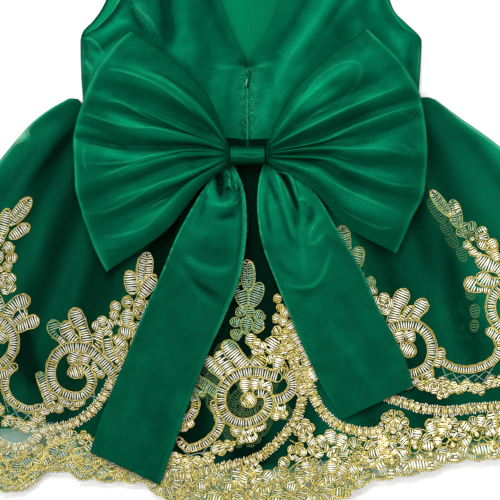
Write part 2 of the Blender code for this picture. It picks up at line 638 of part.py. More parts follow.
def zip_parts(coll, cutters):
    xc = float(wx(ZIP["x"]))
    half = ZIP["tape"] / 2 * MM
    tape = box("zip_tape", xc - half, xc + half, float(wy(ZIP["foot"])), float(wy(ZIP["top"])),
               Z_BACK, Z_BACK + 0.8, coll)
    ch = ZIP["chain"] / 2 * MM
    ridge = box("zip_chain_cutter", xc - ch, xc + ch, float(wy(ZIP["foot"] + 0.2)), float(wy(ZIP["chain_top"])),
                Z_BACK + 0.3, Z_BACK + 3.3, cutters)
    st = ZIP["strip"] / 2 * MM
    strip = box("zip_strip_cutter", xc - st, xc + st, float(wy(ZIP["strip_end"])), float(wy(ZIP["strip_top"])),
                Z_BACK + 3.1, Z_BACK + 3.9, cutters)
    union(tape, ridge)
    union(tape, strip)
    tape.data.materials.append(make_material("mat_zip_tape", GREEN, 0.7))

    # slider: a small bevelled body with a wire bail
    ang = math.radians(-PULL_TILT)
    hx, hy = float(wx(HINGE["gx"])), float(wy(HINGE["gy"]))
    bpy.ops.mesh.primitive_cube_add(size=1.0)
    body = bpy.context.active_object
    body.name = body.data.name = "zip_slider"
    for c in list(body.users_collection):
        c.objects.unlink(body)
    coll.objects.link(body)
    for v in body.data.vertices:
        wide = 2.3 if v.co.y > 0 else 1.75
        v.co.x = math.copysign(wide, v.co.x) * MM
        v.co.y = (2.9 if v.co.y > 0 else -2.6) * MM
        v.co.z = (6.4 if v.co.z > 0 else 5.2) * MM - HINGE["z"] * MM
    body.location = (hx, hy, HINGE["z"] * MM)
    body.rotation_euler = (0, 0, ang)
    bv = body.modifiers.new("round", "BEVEL")
    bv.width = 0.0003
    bv.segments = 2
    bpy.ops.mesh.primitive_torus_add(major_radius=BAIL_R * MM, minor_radius=BAIL_WIRE * MM,
                                     major_segments=20, minor_segments=8)
    bail = bpy.context.active_object
    bail.name = bail.data.name = "zip_bail_cutter"
    for c in list(bail.users_collection):
        c.objects.unlink(bail)
    cutters.objects.link(bail)
    # the ring stands upright, square to the hinge axis
    for v in bail.data.vertices:
        x, y, z = v.co
        v.co = (z, x, y)
    bail.location = body.location
    bail.rotation_euler = body.rotation_euler
    union(body, bail)
    body.data.materials.append(make_material("mat_zip_slider", (0.10, 0.42, 0.30), 0.3, 0.6))

    # pull tab: a teardrop plate with an eye that rides on the bail
    n = 10
    r_eye, r_top, r_end, reach = 0.75, 1.25, 2.0, 11.2
    inner, outer = [], []
    for i in range(2 * n):
        a = 2 * math.pi * (i + 0.5) / (2 * n)
        inner.append((r_eye * math.sin(a), r_eye * math.cos(a)))
        if math.cos(a) > 0:
            outer.append((r_top * math.sin(a), r_top * math.cos(a)))
        else:
            outer.append((r_end * math.sin(a), -reach + r_end * math.cos(a)))
    verts = [(x * MM, (y - BAIL_R) * MM, -0.4 * MM) for x, y in inner + outer]
    faces = []
    m2 = 2 * n
    for i in range(m2):
        j = (i + 1) % m2
        faces.append((i, j, m2 + j, m2 + i))
    me = bpy.data.meshes.new("zip_pull")
    me.from_pydata(verts, [], faces)
    me.update()
    if me.polygons[0].normal.z < 0:
        me.flip_normals()
    pull = add_object("zip_pull", me, (0.10, 0.42, 0.30), 0.25, coll, metal=0.6, smooth=False)
    thicken(pull, 0.8)
    pull.location = (hx, hy, HINGE["z"] * MM)
    pull.rotation_euler = (0, 0, ang)
    return tape, body, pull


def main():
    clear_scene()
    coll = make_collection("Lace_Formal_Dress")
    cutters = make_collection("Cutters")

    bodice_front("bodice_front", Z_FRONT, 0.0, GREEN, coll)
    bodice_front("bodice_lining_front", Z_FRONT_IN, 0.6, GREEN_IN, coll)
    bodice_back("bodice_back_left", BACK_L_INNER, BACK_L_OUTER, True, GREEN, coll)
    bodice_back("bodice_back_right", BACK_R_INNER, BACK_R_OUTER, False, GREEN, coll)

    u = skirt_columns()
    c0, c1 = LINING_COLS
    skirt_front("lace_overlay_front", Z_FRONT, u, 1.0, True, GREEN_MESH, coll)
    skirt_front("skirt_lining_front", Z_FRONT_IN, u[c0:c1 + 1:2], LINING_END, False, GREEN_DARK, coll)
    skirt_back(coll)

    bow_loop("bow_loop_left", LOOP_LEFT, 229.2, -1, coll)
    bow_loop("bow_loop_right", LOOP_RIGHT, 265.8, 1, coll)
    bow_tail("bow_tail_left", TAIL_LEFT, coll)
    bow_tail("bow_tail_right", TAIL_RIGHT, coll)
    bow_knot(coll)
    zip_parts(coll, cutters)


main()
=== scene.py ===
"""Looks of the lace formal dress: satin, bow, sheer mesh and corded embroidery,
laid flat with its back up.

Metres, +Z up.  Outlines are on the drawing grid of 0.8 mm: gx runs right, gy runs down.
"""
import math

import bpy
import bmesh
import numpy as np
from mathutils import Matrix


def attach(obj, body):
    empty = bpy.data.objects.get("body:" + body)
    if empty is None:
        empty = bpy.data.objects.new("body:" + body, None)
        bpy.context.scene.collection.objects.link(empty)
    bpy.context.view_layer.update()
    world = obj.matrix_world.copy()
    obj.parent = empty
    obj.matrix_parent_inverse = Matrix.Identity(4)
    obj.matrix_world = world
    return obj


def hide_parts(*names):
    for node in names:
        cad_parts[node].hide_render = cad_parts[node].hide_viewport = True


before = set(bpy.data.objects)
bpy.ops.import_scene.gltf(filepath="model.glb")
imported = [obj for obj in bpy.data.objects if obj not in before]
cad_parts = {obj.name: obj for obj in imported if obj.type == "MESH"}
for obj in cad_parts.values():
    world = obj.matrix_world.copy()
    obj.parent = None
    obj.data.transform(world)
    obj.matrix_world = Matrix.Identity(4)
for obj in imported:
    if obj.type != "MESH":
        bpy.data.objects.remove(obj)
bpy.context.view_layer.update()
for light in [o for o in bpy.data.objects if o.type in ("LIGHT", "CAMERA")]:
    bpy.data.objects.remove(light, do_unlink=True)

# ---------------------------------------------------------------- dimensions
UNIT = 0.0008          # one drawing unit
GX0, GY0 = 262.37, 198.42   # grid point over the origin, the middle of the garment
MM = 0.001

WALL = 1.0             # mm, cloth wall
GAP = 0.3              # mm, between sewn pieces
SEAM = 0.45            # drawing units between bodice and skirt at the waist

Z_FRONT = 0.0                       # mm, lower face of the front panels
Z_FRONT_IN = WALL + GAP             # front linings
Z_BACK = 2 * (WALL + GAP)           # back panels, before their puff
Z_LACE_BACK = 3 * (WALL + GAP)      # back lace mesh, before its puff
PUFF_MAX = 3.4                      # mm, most air between two layers

FAN_X, FAN_Y = 235.0, -180.0        # grid point that the skirt folds radiate from

SKIRT_COLS = 44                     # columns of the skirt between its side gathers
LINING_COLS = (2, 46)               # columns of the whole grid the lining keeps
LINING_ROWS = 8                     # rows of that grid the lining keeps
LINING_END = 0.905                  # share of the length where the lining stops
SCALLOPS, SCALLOP_DEPTH = 22, 4.5   # lobes along the hem, depth in units

BOW_REST = 0.5                      # mm, bow above what it lies on
KNOT = dict(x=247.5, y=155.5, z=14.0, length=27.2, width=15.2, height=12.0)

ZIP = dict(x=247.6, top=66.0, foot=139.2, tape=17.0, chain=1.0, chain_top=76.0,
           strip_top=116.0, strip_end=146.4, strip=2.2)
PULL_TILT = 11.4                    # degrees, the tab hangs a little to the left
HINGE = dict(gx=249.4, gy=71.6, z=7.1)   # axis of the pull tab
BAIL_R, BAIL_WIRE = 1.3, 0.35       # mm

# ------------------------------------------------------------------- outlines
# Skirt: waist seam, side edges and hem, each a list of (gx, gy).
WAIST = [(83, 104), (120, 117), (160, 127), (205, 135.5), (248, 140), (300, 136),
         (345, 126), (385, 112), (419, 97)]
GATHER_LEFT = [(69, 97.5), (77, 98.2), (83, 104)]      # gathers bulging past the side
GATHER_RIGHT = [(419, 97), (427, 96.4), (436, 99)]
GATHER_U = 0.03                                        # share of the width they take
SIDE_LEFT = [(69, 97.5), (50, 108), (34, 120), (0, 159),
             (-40, 214), (-82, 290), (-115, 385)]
SIDE_RIGHT = [(436, 99), (460, 117), (483, 133), (500, 146),
              (545, 188), (590, 248), (620, 300), (640, 345)]
HEM = [(-115, 385), (-95, 425), (-60, 462), (-20, 485), (11, 494), (30, 489),
       (45, 476), (60, 473), (80, 481), (110, 484), (140, 485), (160, 499),
       (200, 509), (250, 512), (300, 510), (345, 500), (366, 486), (393, 480),
       (423, 475), (458, 464), (500, 460), (545, 441), (590, 405), (625, 368),
       (640, 345)]

# Bodice edges: v runs 0 at the shoulder, 0.72 at underarm and V point, 1 at the waist.
#                v     gx     gy
BACK_L_OUTER = [(0.00, 106.0, -111), (0.18, 116.5, -76), (0.36, 121.0, -38),
                (0.50, 119.5, -8), (0.56, 113.5, 8), (0.64, 98.0, 25),
                (0.72, 80.6, 40), (0.86, 81.0, 72), (1.00, 83.2, 104)]
BACK_L_INNER = [(0.00, 171.0, -115), (0.18, 188.5, -74), (0.36, 206.0, -34),
                (0.50, 220.0, 0), (0.56, 226.5, 19), (0.64, 235.5, 41),
                (0.72, 246.6, 62), (0.86, 246.6, 99), (1.00, 246.6, 139.6)]
BACK_R_INNER = [(0.00, 330.0, -115), (0.18, 314.0, -74), (0.36, 297.5, -34),
                (0.50, 282.5, 0), (0.56, 275.0, 19), (0.64, 263.0, 41),
                (0.72, 248.6, 62), (0.86, 248.6, 99), (1.00, 248.6, 139.6)]
BACK_R_OUTER = [(0.00, 395.0, -111), (0.18, 386.0, -76), (0.36, 381.5, -38),
                (0.50, 384.5, -8), (0.56, 390.5, 6), (0.64, 404.0, 26),
                (0.72, 421.4, 40), (0.86, 420.4, 68), (1.00, 418.8, 97)]
FRONT_L_OUTER = [(0.00, 105.5, -111), (0.18, 111.0, -76), (0.36, 113.0, -38),
                 (0.50, 109.5, -12), (0.56, 103.0, 5), (0.64, 93.0, 20),
                 (0.69, 82.0, 32), (0.72, 80.0, 40), (0.86, 80.6, 72), (1.00, 83.0, 104)]
FRONT_R_OUTER = [(0.00, 395.5, -111), (0.18, 389.0, -76), (0.36, 386.0, -38),
                 (0.50, 388.5, -8), (0.56, 394.0, 9), (0.64, 407.0, 23),
                 (0.69, 419.5, 35), (0.72, 422.0, 40), (0.86, 420.8, 68), (1.00, 419.0, 97)]
FRONT_NECK = [(171, -115), (175, -92), (191, -67), (218, -50), (250.5, -45),
              (283, -50), (310, -67), (326, -92), (330, -115)]

# Largest folds of the skirt: angle from straight down (degrees, + to the right),
# half width (degrees), height between lining and front (mm), height between
# mesh and lining (mm).
#               angle  width  lining  mesh
SKIRT_FOLDS = [(-30.0, 1.7, 1.6, 1.9),
               (-25.2, 1.9, 2.6, 2.2),
               (-19.6, 2.2, 2.9, 2.8),
               (-13.2, 2.3, 2.6, 3.0),
               (-7.0, 2.0, 3.0, 2.2),
               (-1.4, 1.9, 2.2, 2.6),
               (4.2, 2.1, 2.9, 2.4),
               (10.0, 2.0, 2.3, 2.9),
               (15.6, 2.2, 3.0, 2.3),
               (21.8, 2.3, 2.6, 3.0),
               (28.0, 2.0, 2.9, 2.4),
               (33.6, 1.8, 1.9, 2.0)]
# Puff of the skirt by distance below the waist: d (units), share.
SKIRT_PUFF = [(0, 0.05), (12, 0.32), (30, 0.92), (60, 1.0), (200, 0.86), (320, 0.6), (420, 0.42)]

# Largest folds of the back bodice, each a soft ridge from one point to another:
#                gx1   gy1   gx2  gy2  half width  height (mm)
BODICE_FOLDS = [(183, -70, 186, 45, 15, 1.5),
                (186, 45, 150, 84, 14, 1.2),
                (110, 60, 150, 92, 16, 1.3),
                (225, 70, 215, 128, 10, 0.8),
                (340, -30, 295, 62, 13, 1.6),
                (295, 62, 268, 118, 11, 1.4),
                (370, 10, 352, 70, 15, 1.1),
                (398, 50, 385, 95, 12, 0.9)]

# Bow loops.  A row for each crest or hollow, top edge to bottom edge: height of
# the ray at the knot (gy), its points at a third and two thirds of the way out,
# its end on the outer fold, and its height over the loop's floor in mm at
# 15, 40, 70 and 100 percent of the way.
#             neck   x1   y1     x2   y2     x3   y3     h15  h40  h70  h100
LOOP_LEFT = [(146.0, 209, 98, 174, 60, 132, 32, 1.0, 0.6, 0.4, 0.0),
             (148.0, 201, 107, 152, 77, 104, 62, 4.2, 6.6, 5.4, 1.6),
             (149.6, 196, 124, 142, 103, 92, 84, 1.2, 1.2, 1.8, 0.8),
             (151.0, 198, 137, 142, 127, 79, 120, 4.6, 7.0, 4.6, 1.8),
             (152.4, 192, 145, 130, 148, 75, 138, 1.4, 0.6, 0.6, 0.4),
             (154.0, 190, 150, 128, 163, 74.5, 166, 4.2, 5.6, 4.2, 1.8),
             (156.0, 185, 161, 135, 179, 80, 200, 1.2, 0.8, 1.0, 0.8),
             (157.8, 188, 174, 142, 191, 84, 218, 3.4, 4.8, 4.0, 1.4),
             (159.2, 192, 180, 150, 202, 90, 236, 2.0, 2.4, 2.2, 0.8),
             (160.8, 196, 178, 156, 215, 98, 253, 4.4, 7.2, 5.6, 1.6),
             (162.6, 200, 189, 168, 229, 108, 271, 2.6, 2.4, 1.0, 0.0)]
LOOP_RIGHT = [(146.0, 288, 99, 324, 61, 366, 29.5, 1.0, 0.6, 0.4, 0.0),
              (147.8, 300, 108, 345, 73, 390, 52, 2.6, 4.6, 4.6, 1.4),
              (149.2, 305, 118, 357, 90, 403, 67, 1.2, 2.4, 3.0, 1.2),
              (150.6, 308, 127, 358, 105, 412, 82, 5.0, 7.4, 5.4, 1.8),
              (152.0, 315, 137, 368, 114, 419, 98, 1.2, 0.6, 1.0, 0.8),
              (153.4, 320, 143, 374, 124, 422.5, 118, 2.2, 3.6, 3.2, 1.6),
              (155.0, 320, 148, 375, 149, 425.5, 150, 3.6, 4.8, 3.6, 1.6),
              (156.8, 318, 153, 372, 164, 425, 170, 1.2, 1.0, 1.6, 0.8),
              (158.2, 316, 159, 368, 180, 421.5, 193, 2.6, 3.6, 3.0, 1.4),
              (160.0, 312, 169, 358, 200, 411, 216, 4.4, 6.6, 4.6, 1.4),
              (162.0, 309, 185, 346, 227, 395, 253, 2.6, 2.4, 1.0, 0.0)]
LOOP_HSTATIONS = (0.0, 0.15, 0.40, 0.70, 1.0)

# Bow tails, a row for each cross-section: left edge, right edge, and the puff
# in the middle of the section (mm).
#               lx   ly   rx   ry   puff
TAIL_LEFT = [(229.5, 160, 234, 164.5, 0.0),
             (222, 167, 238, 174, 0.6),
             (212, 177, 243, 186, 1.6),
             (202, 191, 246, 203, 2.2),
             (189, 213, 247, 225, 2.0),
             (175, 240, 245, 250, 1.6),
             (164, 267, 240, 277, 1.2),
             (143, 314, 225, 316, 0.8),
             (128, 352, 208, 354, 0.6),
             (112, 390, 191, 398, 0.5),
             (100, 421, 177, 438, 0.4),
             (90, 452, 160, 485, 0.3)]
TAIL_RIGHT = [(264, 164, 270, 161.5, 0.0),
              (260.5, 173, 284, 166, 0.6),
              (258, 187, 301, 179, 1.8),
              (257, 204, 318, 197, 2.4),
              (259, 228, 334, 224, 2.0),
              (264, 250, 349, 249, 1.6),
              (274, 277, 363, 273, 1.2),
              (287, 309, 376, 303, 0.9),
              (304, 349, 392, 333, 0.7),
              (321, 384, 404, 357, 0.5),
              (333, 405, 410, 374, 0.4),
              (343, 419, 413, 386, 0.3)]

# ------------------------------------------------------------------ functions
def wx(gx):
    return (np.asarray(gx, float) - GX0) * UNIT


def wy(gy):
    return (GY0 - np.asarray(gy, float)) * UNIT


def ramp(t):
    """0 to 1, with level ends."""
    t = np.clip(t, 0.0, 1.0)
    return t * t * (3.0 - 2.0 * t)


def curve(xs, ys, x):
    """A smooth curve through a table's points that never overshoots them."""
    xs, ys, x = np.asarray(xs, float), np.asarray(ys, float), np.asarray(x, float)
    h = np.diff(xs)
    d = np.diff(ys) / h
    m = np.zeros(len(xs))
    m[0], m[-1] = d[0], d[-1]
    same = d[:-1] * d[1:] > 0
    w1, w2 = 2 * h[1:] + h[:-1], h[1:] + 2 * h[:-1]
    with np.errstate(divide="ignore", invalid="ignore"):
        harm = (w1 + w2) / (w1 / d[:-1] + w2 / d[1:])
    m[1:-1] = np.where(same, harm, 0.0)
    x = np.clip(x, xs[0], xs[-1])
    i = np.clip(np.searchsorted(xs, x, side="right") - 1, 0, len(h) - 1)
    t = (x - xs[i]) / h[i]
    t2, t3 = t * t, t * t * t
    return ((2 * t3 - 3 * t2 + 1) * ys[i] + (t3 - 2 * t2 + t) * h[i] * m[i]
            + (3 * t2 - 2 * t3) * ys[i + 1] + (t3 - t2) * h[i] * m[i + 1])


def path(points, t):
    """Points of an outline at t = 0..1 of its length."""
    p = np.asarray(points, float)
    s = np.concatenate([[0.0], np.cumsum(np.hypot(*np.diff(p, axis=0).T))])
    s /= s[-1]
    return curve(s, p[:, 0], t), curve(s, p[:, 1], t)


def coons(top, bottom, left, right, u, v):
    """Grid point between four edges, each an (x, y) function of 0..1."""
    tx, ty = top(u)
    bx, by = bottom(u)
    lx, ly = left(v)
    rx, ry = right(v)
    out = []
    for t, b, l, r, k in ((tx, bx, lx, rx, 0), (ty, by, ly, ry, 1)):
        c00, c10 = top(0.0)[k], top(1.0)[k]
        c01, c11 = bottom(0.0)[k], bottom(1.0)[k]
        out.append((1 - v) * t + v * b + (1 - u) * l + u * r
                   - ((1 - u) * (1 - v) * c00 + u * (1 - v) * c10
                      + (1 - u) * v * c01 + u * v * c11))
    return out[0], out[1]


def waist_y(gx):
    w = np.asarray(WAIST, float)
    return curve(w[:, 0], w[:, 1], gx)


def waist_fn(x0, x1):
    """Stretch of the waist seam from x0 to x1, at 0..1."""
    def f(u):
        x = x0 + (x1 - x0) * np.asarray(u, float)
        return x, waist_y(x)
    return f


def skirt_top(u):
    """Upper edge of the skirt: the waist seam, and the gathers past its ends."""
    u = np.asarray(u, float)
    k = GATHER_U
    lx, ly = path(GATHER_LEFT, np.clip(u / k, 0, 1))
    rx, ry = path(GATHER_RIGHT, np.clip((u - 1 + k) / k, 0, 1))
    mx, my = waist_fn(WAIST[0][0], WAIST[-1][0])(np.clip((u - k) / (1 - 2 * k), 0, 1))
    x = np.where(u < k, lx, np.where(u > 1 - k, rx, mx))
    y = np.where(u < k, ly, np.where(u > 1 - k, ry, my))
    return x, y


def skirt_xy(u, v, scallop=True):
    """Skirt outline and inside, u across and v down."""
    u, v = np.asarray(u, float), np.asarray(v, float)
    x, y = coons(skirt_top, lambda t: path(HEM, t),
                 lambda t: path(SIDE_LEFT, t), lambda t: path(SIDE_RIGHT, t), u, v)
    y = y + SEAM * (1 - v)
    if scallop:
        w = (u - GATHER_U) / (1 - 2 * GATHER_U)
        cut = SCALLOP_DEPTH * (1 - np.abs(np.cos(math.pi * SCALLOPS * w))) * ramp((v - 0.9) / 0.1)
        dx, dy = x - FAN_X, y - FAN_Y
        r = np.hypot(dx, dy)
        x, y = x - dx / r * cut, y - dy / r * cut
    return x, y


def skirt_share(gx, gy):
    """How far the skirt has puffed up at a point, 0 at the waist."""
    d = np.maximum(gy - waist_y(gx), 0.0)
    side = ramp((np.abs(gx - 248.0) - 20.0) / 80.0)
    d = d * (0.38 + 0.62 * side)
    t = np.asarray(SKIRT_PUFF, float)
    return curve(t[:, 0], t[:, 1], d)


def skirt_puffs(gx, gy):
    """Air under the back lining and under the back mesh, mm."""
    phi = np.degrees(np.arctan2(gx - FAN_X, gy - FAN_Y))
    a = np.zeros_like(phi)
    b = np.zeros_like(phi)
    for angle, width, lining, mesh in SKIRT_FOLDS:
        g = np.exp(-((phi - angle) / width) ** 2)
        a = a + lining * g
        b = b + mesh * g
    share = skirt_share(gx, gy)
    return (PUFF_MAX * np.tanh((a + 0.25) / PUFF_MAX) * share,
            PUFF_MAX * np.tanh((b + 0.25) / PUFF_MAX) * share)


def bodice_puff(gx, gy, outer_l, outer_r):
    """Air under the back bodice, mm: soft folds that fade to the side seams."""
    c = np.full_like(np.asarray(gx, float), 1.3)
    for x1, y1, x2, y2, w, h in BODICE_FOLDS:
        ax, ay = x2 - x1, y2 - y1
        t = np.clip(((gx - x1) * ax + (gy - y1) * ay) / (ax * ax + ay * ay), 0, 1)
        d = np.hypot(gx - x1 - t * ax, gy - y1 - t * ay)
        c = c + h * np.exp(-(d / w) ** 2)
    edge = ramp(np.minimum(gx - outer_l, outer_r - gx) / 14.0)
    shoulder = ramp((gy + 115.0) / 22.0)
    zip_side = ramp((np.abs(gx - ZIP["x"]) - 3.0) / 12.0)
    c = 1.3 + (c - 1.3) * zip_side
    return np.minimum(c, PUFF_MAX) * edge * shoulder


def rest_height(gx, gy):
    """Height (mm) that clears every fold of the bodice and skirt."""
    bodice = 7.4
    skirt = Z_LACE_BACK + WALL + 0.4 + 2 * PUFF_MAX * skirt_share(gx, gy)
    k = ramp((gy - waist_y(gx) + 10.0) / 20.0)
    side = ramp((np.abs(gx - 248.0) - 20.0) / 30.0)
    near = bodice * side + (1 - side) * 6.4
    return np.maximum(near * (1 - k), skirt * 1.0)



# ------------------------------------------------------------ numeric helpers
def curve_rows(xs, ys, x):
    """As curve, with a row of values of its own at each x: ys is (..., n), x is (...)."""
    xs, ys, x = np.asarray(xs, float), np.asarray(ys, float), np.asarray(x, float)
    h = np.diff(xs)
    d = np.diff(ys, axis=-1) / h
    m = np.zeros_like(ys)
    m[..., 0], m[..., -1] = d[..., 0], d[..., -1]
    a, b = d[..., :-1], d[..., 1:]
    w1, w2 = 2 * h[1:] + h[:-1], h[1:] + 2 * h[:-1]
    with np.errstate(divide="ignore", invalid="ignore"):
        harm = (w1 + w2) / (w1 / a + w2 / b)
    m[..., 1:-1] = np.where(a * b > 0, harm, 0.0)
    x = np.clip(x, xs[0], xs[-1])
    i = np.clip(np.searchsorted(xs, x, side="right") - 1, 0, len(h) - 1)

    def at(arr, k):
        return np.take_along_axis(arr, k[..., None], -1)[..., 0]

    t = (x - xs[i]) / h[i]
    t2, t3 = t * t, t * t * t
    return ((2 * t3 - 3 * t2 + 1) * at(ys, i) + (t3 - 2 * t2 + t) * h[i] * at(m, i)
            + (3 * t2 - 2 * t3) * at(ys, i + 1) + (t3 - t2) * h[i] * at(m, i + 1))


def spline(points, step=1.5, closed=False):
    """Catmull-Rom curve through points, sampled about every step."""
    p = np.asarray(points, float)
    if closed:
        q = np.vstack([p[-1], p, p[0], p[1]])
    else:
        q = np.vstack([2 * p[0] - p[1], p, 2 * p[-1] - p[-2]])
    out = []
    for k in range(1, len(q) - 2):
        a, b, c, d = q[k - 1], q[k], q[k + 1], q[k + 2]
        n = max(2, int(math.ceil(np.hypot(*(c - b)) / step)))
        t = (np.arange(n) / n)[:, None]
        out.append(0.5 * (2 * b + (c - a) * t + (2 * a - 5 * b + 4 * c - d) * t ** 2
                          + (3 * b - a - 3 * c + d) * t ** 3))
    if not closed:
        out.append(q[-2][None])
    return np.vstack(out)


def even(points, step):
    """A polyline resampled at even steps."""
    p = np.asarray(points, float)
    s = np.concatenate([[0.0], np.cumsum(np.hypot(*np.diff(p, axis=0).T))])
    n = max(2, int(round(s[-1] / step)) + 1)
    t = np.linspace(0, s[-1], n)
    return np.stack([np.interp(t, s, p[:, 0]), np.interp(t, s, p[:, 1])], -1)


def value_noise(x, y, size, seed):
    """Smooth seeded noise from -1 to 1 with features about size across."""
    tab = np.random.default_rng(seed).random((64, 64)) * 2 - 1
    x, y = np.asarray(x, float) / size + 1000.0, np.asarray(y, float) / size + 1000.0
    xi, yi = np.floor(x).astype(int), np.floor(y).astype(int)
    fx, fy = ramp(x - xi), ramp(y - yi)
    a, b = tab[xi % 64, yi % 64], tab[(xi + 1) % 64, yi % 64]
    c, d = tab[xi % 64, (yi + 1) % 64], tab[(xi + 1) % 64, (yi + 1) % 64]
    return (a * (1 - fx) + b * fx) * (1 - fy) + (c * (1 - fx) + d * fx) * fy


def relief(gx, gy, strokes):
    """Soft ridges (+) and troughs (-), mm: rows of (height, half width, points)."""
    z = np.zeros_like(gx)
    for height, width, pts in strokes:
        p = spline(pts, 6.0) if len(pts) > 2 else np.asarray(pts, float)
        best = np.full(gx.shape, 1e9)
        along = np.zeros_like(gx)
        for i in range(len(p) - 1):
            ax, ay = p[i + 1] - p[i]
            t = np.clip(((gx - p[i][0]) * ax + (gy - p[i][1]) * ay) / (ax * ax + ay * ay), 0, 1)
            d = np.hypot(gx - p[i][0] - t * ax, gy - p[i][1] - t * ay)
            near = d < best
            best = np.where(near, d, best)
            along = np.where(near, (i + t) / (len(p) - 1), along)
        fade = 0.25 + 0.75 * ramp(np.minimum(along, 1 - along) / 0.28)
        z = z + height * fade * np.exp(-(best / width) ** 2)
    return z


def blur(z, ri, rj):
    """Box blur of a grid, done twice, with its edges held."""
    for _ in range(2):
        for axis, r in ((0, ri), (1, rj)):
            if r < 1:
                continue
            pad = [(0, 0), (0, 0)]
            pad[axis] = (r + 1, r)
            c = np.cumsum(np.pad(z, pad, mode="edge"), axis=axis)
            n = z.shape[axis]
            hi = np.take(c, np.arange(2 * r + 1, 2 * r + 1 + n), axis=axis)
            lo = np.take(c, np.arange(0, n), axis=axis)
            z = (hi - lo) / (2 * r + 1)
    return z


def hollows(z, ri, rj, span):
    """0 in a hollow, 0.5 on the level, 1 on a crest."""
    return 0.5 + 0.5 * np.tanh((z - blur(z, ri, rj)) / span)


# ---------------------------------------------------------------- mesh helpers
def grid_piece(name, gx, gy, z_mm, mat, tone=None, uv=None, thick=0.5, up=True, extra=None, line=None):
    """A sheet through a grid of points; uv is in metres of cloth."""
    rows, cols = gx.shape
    pts = np.stack([wx(gx), wy(gy), z_mm * MM], -1).reshape(-1, 3)
    idx = np.arange(rows * cols).reshape(rows, cols)
    quads = np.stack([idx[:-1, :-1], idx[1:, :-1], idx[1:, 1:], idx[:-1, 1:]], -1).reshape(-1, 4)
    if not up:
        quads = quads[:, ::-1]
    me = bpy.data.meshes.new(name)
    me.from_pydata(pts.tolist(), [], quads.tolist())
    if uv is None:
        uv = np.stack([wx(gx), wy(gy)], -1)
    layer = me.uv_layers.new(name="Cloth")
    layer.uv.foreach_set("vector", np.ascontiguousarray(
        uv.reshape(-1, 2)[quads.reshape(-1)], dtype=np.float32).reshape(-1))
    for key, val in (("tone", tone), ("extra", extra), ("line", line)):
        if val is not None:
            a = me.attributes.new(key, "FLOAT", "POINT")
            a.data.foreach_set("value", np.ascontiguousarray(val, dtype=np.float32).reshape(-1))
    me.update()
    me.shade_smooth()
    o = bpy.data.objects.new(name, me)
    bpy.context.scene.collection.objects.link(o)
    me.materials.append(mat)
    if thick:
        rim_down(me, thick * MM * (1 if up else -1))
    return o


def rim_down(me, depth):
    """Turn the free edge of a sheet over by the cloth's thickness."""
    bm = bmesh.new()
    bm.from_mesh(me)
    edges = [e for e in bm.edges if e.is_boundary]
    res = bmesh.ops.extrude_edge_only(bm, edges=edges)
    for g in res["geom"]:
        if isinstance(g, bmesh.types.BMVert):
            g.co.z -= depth
        elif isinstance(g, bmesh.types.BMFace):
            g.smooth = False
    bm.to_mesh(me)
    bm.free()
    me.update()


def lengths(gx, gy, axis):
    """Metres along the rows or columns of a grid."""
    d = np.hypot(np.diff(gx, axis=axis), np.diff(gy, axis=axis)) * UNIT
    pad = [(0, 0), (0, 0)]
    pad[axis] = (1, 0)
    return np.cumsum(np.pad(d, pad), axis=axis)


